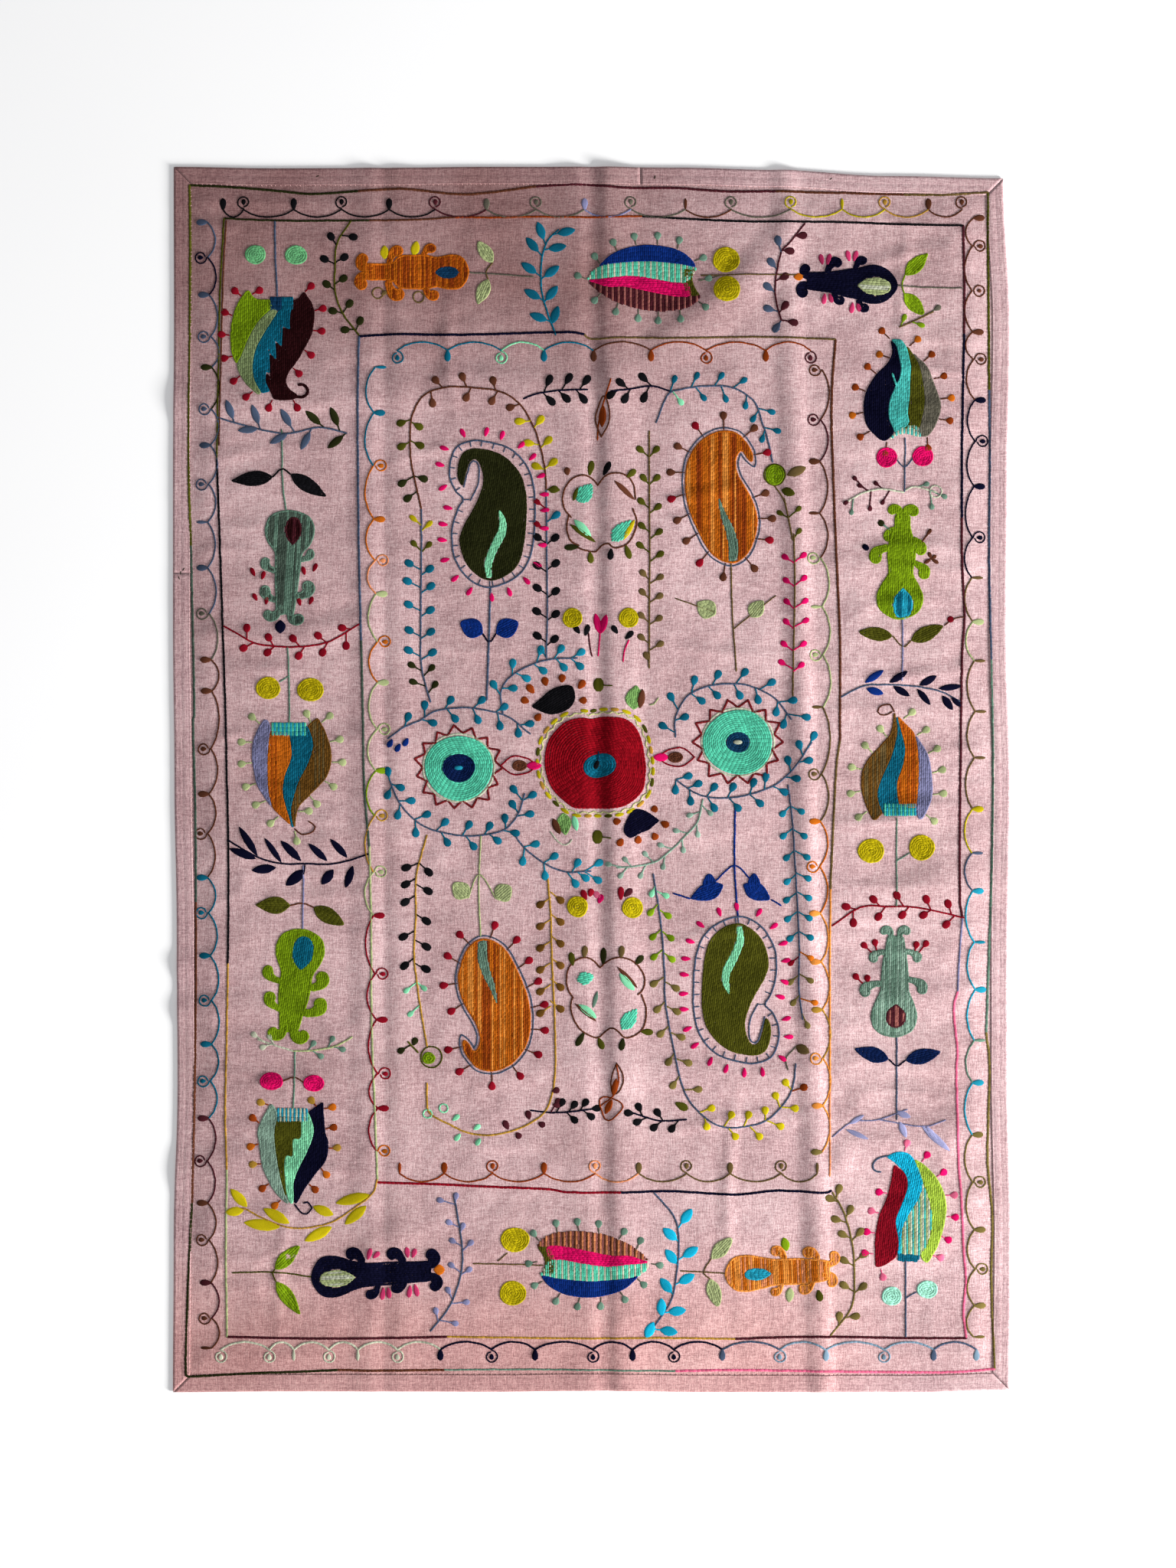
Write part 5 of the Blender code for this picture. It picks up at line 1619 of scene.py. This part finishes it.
def middle_rosettes():
    rosette(-239, 21, ("turquoise", 61, 58), ("deep_blue", 30, 26), "cyan", ("wine", 64, 79), 15)
    rosette(262, 67, ("turquoise", 62, 58), ("steel", 21, 19), "cream", ("wine", 65, 82), 14)
    outer = soft([(-20, 110), (0, 108), (18, 112), (54, 110), (74, 98), (86, 78), (92, 52), (96, 21),
                  (93, -12), (84, -28), (62, -45), (36, -51), (0, -51), (-32, -50), (-56, -32), (-74, -10),
                  (-84, 24), (-81, 60), (-68, 84), (-45, 104)], closed=True)
    outer = even(np.vstack([outer, outer[:1]]), 3.0)
    spin = np.arctan2(outer[:, 1] - EYE[1], outer[:, 0] - EYE[0])
    swell = 1.0 + 0.13 * np.cos(2 * spin - 0.7)
    inner = np.stack([EYE[0] + 27.0 * swell * np.cos(spin), EYE[1] + 24.0 * swell * np.sin(spin)], -1)
    rounds = 17
    for k in range(rounds):
        t = (k + 0.4) / rounds
        chain("crimson", outer * (1 - t) + inner * t, ROW + ROW_LAP + 0.4, 1.4)
    for t in (0.08, 0.23, 0.38, 0.53, 0.68, 0.83):
        chain("teal", inner * (1 - t) + np.array(EYE) * t, ROW + ROW_LAP + 0.4, 1.5)
    lay("black", "berry", (EYE[0] - 8, EYE[1] - 6), (EYE[0] - 3, EYE[1] + 9), 10.0, 3.6)
    line("steel", [(11, 34), (12, 50)], 3.0, high=2.6)
    wave = even(outer, 2.0)
    swing = 2.4 * np.sin(np.arange(len(wave)) * 2 * math.pi / 9.0)
    pale = shifted(wave[:-1],
                   -8.0) + (shifted(wave[:-1], -9.0) - shifted(wave[:-1], -8.0)) * swing[:-1, None]
    chain("straw", np.vstack([pale, pale[:1]]), 2.8, 0.9, 6.0)
    halo = shifted(even(outer, 4.5)[:-1], -14.0)
    for k in range(0, len(halo) - 3, 4):
        dye = ("yellow", "olive", "yellow", "gold", "yellow")[k // 4 % 5]
        lay(dye, "berry", halo[k], halo[k + 3], 7.0, 1.3)
    wreath([(-366, 74), (-335, 95), (-307, 107), (-283, 122), (-250, 128), (-212, 128), (-153, 114),
            (-111, 82)], [(-330, 112), (-300, 133), (-254, 142), (-198, 142), (-158, 130), (-286, 102),
                          (-246, 110), (-205, 108), (-165, 97), (-112, 100), (-132, 84)])
    wreath([(-363, -2), (-346, -40), (-321, -70), (-290, -89), (-240, -100), (-198, -100), (-156, -89),
            (-132, -61), (-121, -26)],
           [(-366, 14), (-366, -27), (-344, -14), (-325, -38), (-348, -63), (-316, -95), (-297, -63),
            (-264, -77), (-260, -112), (-221, -82), (-213, -119), (-184, -84), (-170, -109), (-156, -70),
            (-138, -96), (-142, -45), (-112, -62), (-140, -18), (-107, -28)])
    for x, y in ((-366, 58), (-352, 50), (-338, 60)):
        bud("blue", (x + 8, y + 14), (x, y), 9.0)
    wreath([(-160, 118), (-163, 160), (-139, 190), (-86, 214), (-26, 218)],
           [(-176, 170), (-142, 164), (-142, 208), (-118, 182), (-92, 232), (-88, 196), (-56, 234),
            (-51, 202), (-22, 204), (-20, 228)], "sea_blue")
    wreath([(-137, -94), (-132, -110), (-107, -135), (-75, -156), (-44, -166), (-2, -164)],
           [(-102, -116), (-124, -146), (-68, -138), (-84, -172), (-26, -150), (-30, -186), (12, -150),
            (10, -180), (-12, -176)], "sea_blue")
    wreath([(150, 76), (150, 112), (172, 150), (210, 168), (256, 172), (290, 166), (329, 145), (358, 108)],
           [(142, 148), (184, 178), (196, 142), (166, 112), (226, 188), (224, 152), (274, 192), (265, 152),
            (298, 144), (322, 174), (331, 122), (360, 142), (384, 112), (344, 100), (128, 96)])
    wreath([(151, 0), (175, -18), (205, -31), (245, -33), (286, -26), (330, -9), (362, 20), (394, 66)],
           [(172, 6), (150, -18), (190, -8), (177, -38), (219, -14), (219, -50), (253, -14), (261, -50),
            (290, -6), (312, 4), (301, -42), (345, -22), (366, 2), (352, 34), (388, 34), (398, 78),
            (372, 62)])
    sprig("pale_sage",
          [(199, -36), (190, -75), (168, -101), (139, -130), (113, -148), (76, -156), (46, -158)], [
        ("pale_sage", (13, 8), "petal",
         [(212, -60), (176, -64), (190, -98), (152, -92), (164, -126), (124, -118), (128, -156), (96, -134),
          (88, -172), (60, -144), (52, -172), (30, -152)])])
    shape("black", [(-109, 131), (-109, 131), (-92, 146), (-74, 161), (-50, 169), (-34, 166), (-31, 142),
                    (-46, 124), (-71, 117), (-94, 123)], 32.0)
    shape("navy", [(121, -73), (121, -73), (97, -57), (77, -53), (65, -68), (57, -90), (67, -105),
                   (87, -96), (104, -89)], 30.0)
    leaf("leaf_green", (74, 126), (80, 170), 34)
    leaf("brown", (86, 128), (91, 162), 14, high=2.2)
    leaf("leaf_green", (-52, -60), (-47, -100), 27)
    leaf("brown", (-70, -70), (-57, -98), 14, high=2.2)
    leaf("mint", (-33, -64), (-27, -92), 12)
    line("pale_green", [(104, 134), (112, 136), (119, 146)], 2.6)
    line("cream", [(-74, -94), (-60, -112), (-46, -118), (-36, -108)], 2.8)
    buds("rust", 12.0, (-113, 139, -127, 145), (-104, 155, -116, 170), (-82, 168, -86, 184),
         (-54, 174, -53, 189), (-24, 163, -13, 178), (-23, 142, -9, 142), (-92, 118, -101, 106),
         (52, -74, 38, -76), (55, -106, 47, -119), (84, -101, 82, -115), (110, -96, 116, -108),
         (124, -76, 138, -84), (106, -55, 118, -51))
    for x, y in ((12, 170), (10, -103)):
        bud("olive", (x, y - 12), (x, y + 12), 20.0, "berry")
        line("olive", [(x + 6, y), (x + 24, y - 2)], 2.6)
    for x, side in ((-132, 1), (152, -1)):
        y = 25 if side > 0 else 40
        outline = soft([(x - 32 * side, y), (x - 32 * side, y), (x - 10 * side, y + 17),
                        (x + 18 * side, y + 12), (x + 32 * side, y), (x + 32 * side, y),
                        (x + 18 * side, y - 12), (x - 10 * side, y - 16)], closed=True)
        chain("dark_red", np.vstack([outline, outline[:1]]), 3.2)
        disc("brown", x + 2 * side, y, 14, 10)
        leaf("magenta", (x + 14 * side, y), (x + 42 * side, y), 16)


def middle_bottom():
    sprig("gold", [(-296, -100), (-307, -138), (-316, -180), (-316, -244), (-319, -307), (-316, -349),
                   (-306, -420), (-296, -478)], [
        ("black", (18, 14), "berry",
         [(-333, -158), (-334, -188), (-335, -220), (-338, -282), (-336, -334), (-293, -166), (-294, -200),
          (-297, -254), (-297, -300), (-298, -340)]),
        ("mint", (14, 8), "petal", [(-332, -378), (-302, -374), (-325, -420)])])
    disc("lime", -293, -500, 12, 11)
    ring("olive", -288, -498, 19, 3.2)
    sprig("olive", [(-312, -490), (-330, -470)],
          [("dark_olive", (15, 10), "petal", [(-342, -486), (-318, -470)])], lag=4)
    line("gold",
         [(-296, -545), (-296, -580), (-290, -600), (-258, -618), (-222, -634), (-180, -638), (-130, -626),
          (-92, -604), (-76, -580), (-66, -526), (-67, -420), (-72, -320), (-74, -240), (-80, -172)], 3.8)
    for x, y in ((-295, -600), (-266, -590)):
        ring("mint", x, y, 8)
    buds("mint", 8.0, (-250, -612, -238, -602), (-236, -636, -246, -648), (-212, -628, -200, -620),
         (-200, -644, -208, -656))
    buds("plum", 10.0, (-150, -628, -158, -612), (-136, -634, -128, -644), (-112, -610, -116, -594),
         (-96, -616, -84, -622), (-72, -560, -58, -556), (-70, -584, -56, -584))
    for k in range(6):
        y = -212 - 39 * k
        stalked("gold", "umber", (-74, y), (-92, y - 12), (17, 12))
        stalked("gold", "umber", (-74, y + 10), (-57, y - 4), (17, 12))
    bean(-195, -285, 180, "dark_red")
    line("pale_green", [(-199, -100), (-203, -190), (-200, -282)], 3.0)
    leaves("pale_green", ((-222, -212), (-250, -184), 34), ((-172, -214), (-144, -190), 36))
    line("pale_green", [(-222, -212), (-202, -170), (-172, -214)], 2.6)
    discs("yellow", (-26, -228, 19), (73, -230, 19))
    for root, tip, dye in (((-10, -216), (-18, -198), "dark_red"), ((-4, -210), (0, -196), "dark_red"),
                           ((52, -216), (52, -192), "dark_red"), ((58, -210), (72, -196), "plum"),
                           ((12, -222), (18, -206), "magenta"), ((16, -214), (4, -202), "pink")):
        bud(dye, root, tip, 10.0)
    loops = [[(-59.5, -6), (-71, 15), (-70, 41), (-60, 58), (-39, 67), (-22, 60), (-12, 48), (-12, 48),
              (5, 62), (28, 67), (53, 56), (68, 33), (66, 10), (57, 0)],
             [(63, 0), (71, -25), (70, -48), (63, -64), (47, -75), (32, -77), (20, -64), (7, -60),
              (-6, -70), (-18, -78), (-45, -64), (-60, -41), (-64, -18), (-60, -4)]]
    knobs = [(-60, 52, -64, 76, "olive"), (-40, 66, -38, 88, "khaki"), (-6, 54, -5, 84, "dark_olive"),
             (26, 66, 28, 88, "khaki"), (52, 54, 66, 70, "dark_olive"), (62, -66, 84, -68, "olive"),
             (30, -78, 26, -100, "dark_olive"), (-14, -78, -6, -98, "olive"),
             (-40, -68, -54, -92, "dark_olive")]
    pads = [("turquoise", (-52, 26), (-22, 34), 22), ("turquoise", (28, -62), (54, -26), 25),
            ("mint", (24, 38), (50, 8), 16), ("brown", (20, 50), (56, 12), 9),
            ("mint", (-50, -18), (-18, -42), 16), ("brown", (-56, -16), (-18, -48), 9),
            ("grey_green", (-16, 6), (-24, -24), 8)]
    medallion(26, -386, loops, knobs, pads)
    line("rust", [(17, -585), (40, -565), (48, -540), (44, -510)], 3.0)
    outlined("brown", [(44, -508), (44, -508), (56, -530), (52, -555), (38, -565), (34, -540)], 3.0)
    leaf("rust", (38, -568), (44, -536), 12)
    outlined("rust", [(14, -574), (30, -570), (56, -584), (40, -606), (26, -612), (18, -596)], 3.0)
    leaf("rust", (24, -600), (36, -574), 12)
    sprig("navy", [(-110, -594), (-62, -598), (10, -590)], [
        ("black", (17, 11), "petal",
         [(-54, -580), (-32, -584), (-12, -580), (8, -590), (-32, -610), (-2, -604)]),
        ("plum", (14, 9), "petal", [(-62, -578)])])
    sprig("navy", [(170, -610), (120, -612), (68, -596)], [
        ("black", (17, 12), "petal",
         [(66, -598), (84, -588), (82, -614), (118, -598), (112, -624), (144, -626)])])
    sprig("slate", [(110, -170), (124, -260), (130, -340), (132, -400), (146, -480), (166, -560),
                    (200, -604), (240, -624), (298, -618), (332, -596), (358, -559), (366, -510)], [
        ("mint", (15, 9), "petal", [(108, -204), (132, -208)]),
        ("lime", (16, 10), "petal",
         [(106, -238), (136, -244), (110, -282), (141, -284), (112, -318), (143, -322)]),
        ("drab", (17, 11), "petal", [(112, -366), (150, -374), (118, -412), (152, -416), (124, -456),
                                     (160, -462), (138, -506), (172, -508), (146, -548), (190, -556)]),
        ("yellow", (15, 12), "petal",
         [(214, -590), (206, -622), (250, -602), (257, -640), (281, -602), (300, -640), (311, -594),
          (338, -622), (330, -568), (364, -590), (348, -544)]), ("rust", (14, 13), "berry", [(380, -552)])])
    bud("olive", (150, -580), (172, -592), 15)
    tear("olive", "magenta", 264, -258, 180)
    line("blue", [(262, -246), (256, -156), (257, -48)], 4.0)
    leaves("blue", ((236, -190), (176, -214), 32), ((272, -188), (322, -216), 32),
           ((212, -204), (210, -166), 26), ((292, -204), (290, -166), 24))
    line("blue", [(176, -214), (146, -204)], 3.6)
    line("blue", [(322, -216), (340, -226)], 3.6)
    line("blue", [(222, -182), (256, -154), (286, -180)], 3.4)
    sprig("slate", [(352, -10), (360, -80), (366, -180), (372, -300), (371, -370), (378, -430)], [
        ("sea_blue", (15, 10), "petal",
         [(343, -61), (344, -101), (350, -140), (351, -183), (350, -216), (352, -250), (356, -285),
          (375, -57), (380, -101), (385, -139), (387, -177), (388, -212), (389, -248), (391, -283)]),
        ("dark_red", (14, 8), "petal", [(358, -329)]),
        ("orange", (14, 9), "petal", [(392, -320), (399, -400)]),
        ("drab", (15, 9), "petal", [(357, -363), (391, -360), (362, -400), (386, -440)])])
    leaf("khaki", (366, -478), (390, -490), 18)
    line("grey", [(352, -520), (348, -500), (366, -480)], 3.0)


# ---------------------------------------------------------------- seams and the order of the work
# marks of dark thread near the binding's joins: x, y and direction in degrees
JOIN_MARKS = [(-738, 371, 80), (-733, 377, 60), (-741, 362, 110), (-492, 1083, 20), (113, 1081, 70),
              (429, 1078, 30)]


def hem():
    """Small slanting stitches that hold the binding's inner edge."""
    inset = FACE_LEG + 0.9 * MM
    for side, run in EDGE_RUN.items():
        at = np.arange(1.3 * inset, run - 1.3 * inset, 9.0 * MM)
        at = at + draw.normal(0.0, 0.8, len(at)) * MM
        first = np.stack(edge_plan(side, at, np.full(len(at), inset - 1.6 * MM)), -1) / MM
        last = np.stack(edge_plan(side, at + 2.6 * MM, np.full(len(at), inset + 1.8 * MM)), -1) / MM
        lay("seam", "link", first, last, 1.5, 0.7)
    for x, y, turn in JOIN_MARKS:
        reach = 3.5 * round_way(math.radians(turn))
        lay("dark_olive", "link", (x, y) - reach, (x, y) + reach, 2.0, 0.9)


def sew():
    """All the embroidery. The order matters, because every stitch takes random numbers from one row."""
    hem()
    outer_line()
    middle_line()
    inner_line()
    outer_garlands()
    inner_garlands()
    left_column()
    right_column()
    top_band()
    bottom_band()
    middle_top()
    middle_rosettes()
    middle_bottom()


def thread_mesh(kinds):
    """Points, faces and tones of one thread's shapes, set on the cloth's surface."""
    points, faces, tones = [], [], []
    base = 0
    for kind in sorted(kinds):
        rows = np.vstack(kinds[kind])
        mid_x, mid_y, turn, long, half, high = (rows[:, k:k + 1] for k in range(6))
        stations, across = SHAPES[kind]
        along, breadth, rise = np.repeat(stations, len(across), axis=0).T
        side, lift = np.tile(across, (len(stations), 1)).T
        u = (along - 0.5) * long
        v = side * breadth * half
        c, s = np.cos(turn), np.sin(turn)
        x = (mid_x + u * c - v * s) * MM
        y = (mid_y + u * s + v * c) * MM
        z = surface(x, y) + (rise * lift * high - SUNK) * MM
        points.append(np.stack([x, y, z], -1).reshape(-1, 3))
        tones.append(np.repeat(rows[:, 6], len(along)))
        index = np.arange(len(along)).reshape(len(stations), len(across))
        quad = np.stack([index[:-1, :-1], index[1:, :-1], index[1:, 1:], index[:-1, 1:]], -1).reshape(-1, 4)
        every = quad + (np.arange(len(rows)) * len(along))[:, None, None]
        faces.append(every.reshape(-1, 4) + base)
        base += len(rows) * len(along)
    return np.vstack(points), np.vstack(faces), np.concatenate(tones)


# ---------------------------------------------------------------- the object
cloth = make_cloth()
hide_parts("panel")
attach(cloth, "root")
strips = [make_strip(*row, seed=40 + 3 * k) for k, row in enumerate(STRIPS)]

sew()
for thread in sorted(threads):
    points, faces, tones = thread_mesh(threads[thread])
    piece = add_mesh("wool_" + thread, points, [faces], wool("wool_" + thread, DYES[thread]), tones)
    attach(piece, "root")

# ---------------------------------------------------------------- floor, light and camera
FLOOR_HALF = 8.0
FLOOR_TOP = -0.0005
FLOOR_GLOW = 0.11
floor_mesh = bpy.data.meshes.new("floor")
floor_mesh.from_pydata([(sx * FLOOR_HALF, sy * FLOOR_HALF, FLOOR_TOP) for sx, sy in
                        ((-1, -1), (1, -1), (1, 1), (-1, 1))], [], [(0, 1, 2, 3)])
floor = link_object("floor", floor_mesh)
paint = Surface("floor_paint")
paint.put(paint.mix(paint.noise((2.0, 2.0, 2.0)), (0.96, 0.96, 0.96, 1.0), (0.98, 0.98, 0.98, 1.0)),
          paint.shader.inputs["Base Color"])
paint.put(WHITE, paint.shader.inputs["Emission Color"])
paint.put(FLOOR_GLOW, paint.shader.inputs["Emission Strength"])
floor_mesh.materials.append(paint.finish(0.9))

KEY_AT = (6.0, -3.1, 1.9)
KEY_SIDE = 1.9
KEY_WATTS = 1320.0
key = bpy.data.lights.new("key", "AREA")
key.shape = "SQUARE"
key.size = KEY_SIDE
key.energy = KEY_WATTS
key.color = (1.0, 0.99, 0.975)
lamp = link_object("key", key)
lamp.location = KEY_AT
lamp.rotation_euler = (math.acos(KEY_AT[2] / math.hypot(*KEY_AT)), 0.0, math.atan2(KEY_AT[0], -KEY_AT[1]))

world = bpy.data.worlds.new("studio")
bpy.context.scene.world = world
world.use_nodes = True
backdrop = world.node_tree.nodes["Background"]
backdrop.inputs["Color"].default_value = (0.96, 0.97, 1.0, 1.0)
backdrop.inputs["Strength"].default_value = 0.43

# the camera looks straight down; FRAME_HIGH is what its picture takes in from top to bottom
CAMERA_LENS = 85.0
SENSOR = 36.0
FRAME_HIGH = 2.816
camera_data = bpy.data.cameras.new("camera")
camera_data.lens = CAMERA_LENS
camera_data.sensor_fit = "VERTICAL"
camera_data.sensor_height = SENSOR
camera = link_object("camera", camera_data)
camera.location = (-0.007, -0.008, FRAME_HIGH * CAMERA_LENS / SENSOR)
bpy.context.scene.camera = camera
bpy.context.scene.view_settings.view_transform = "Standard"
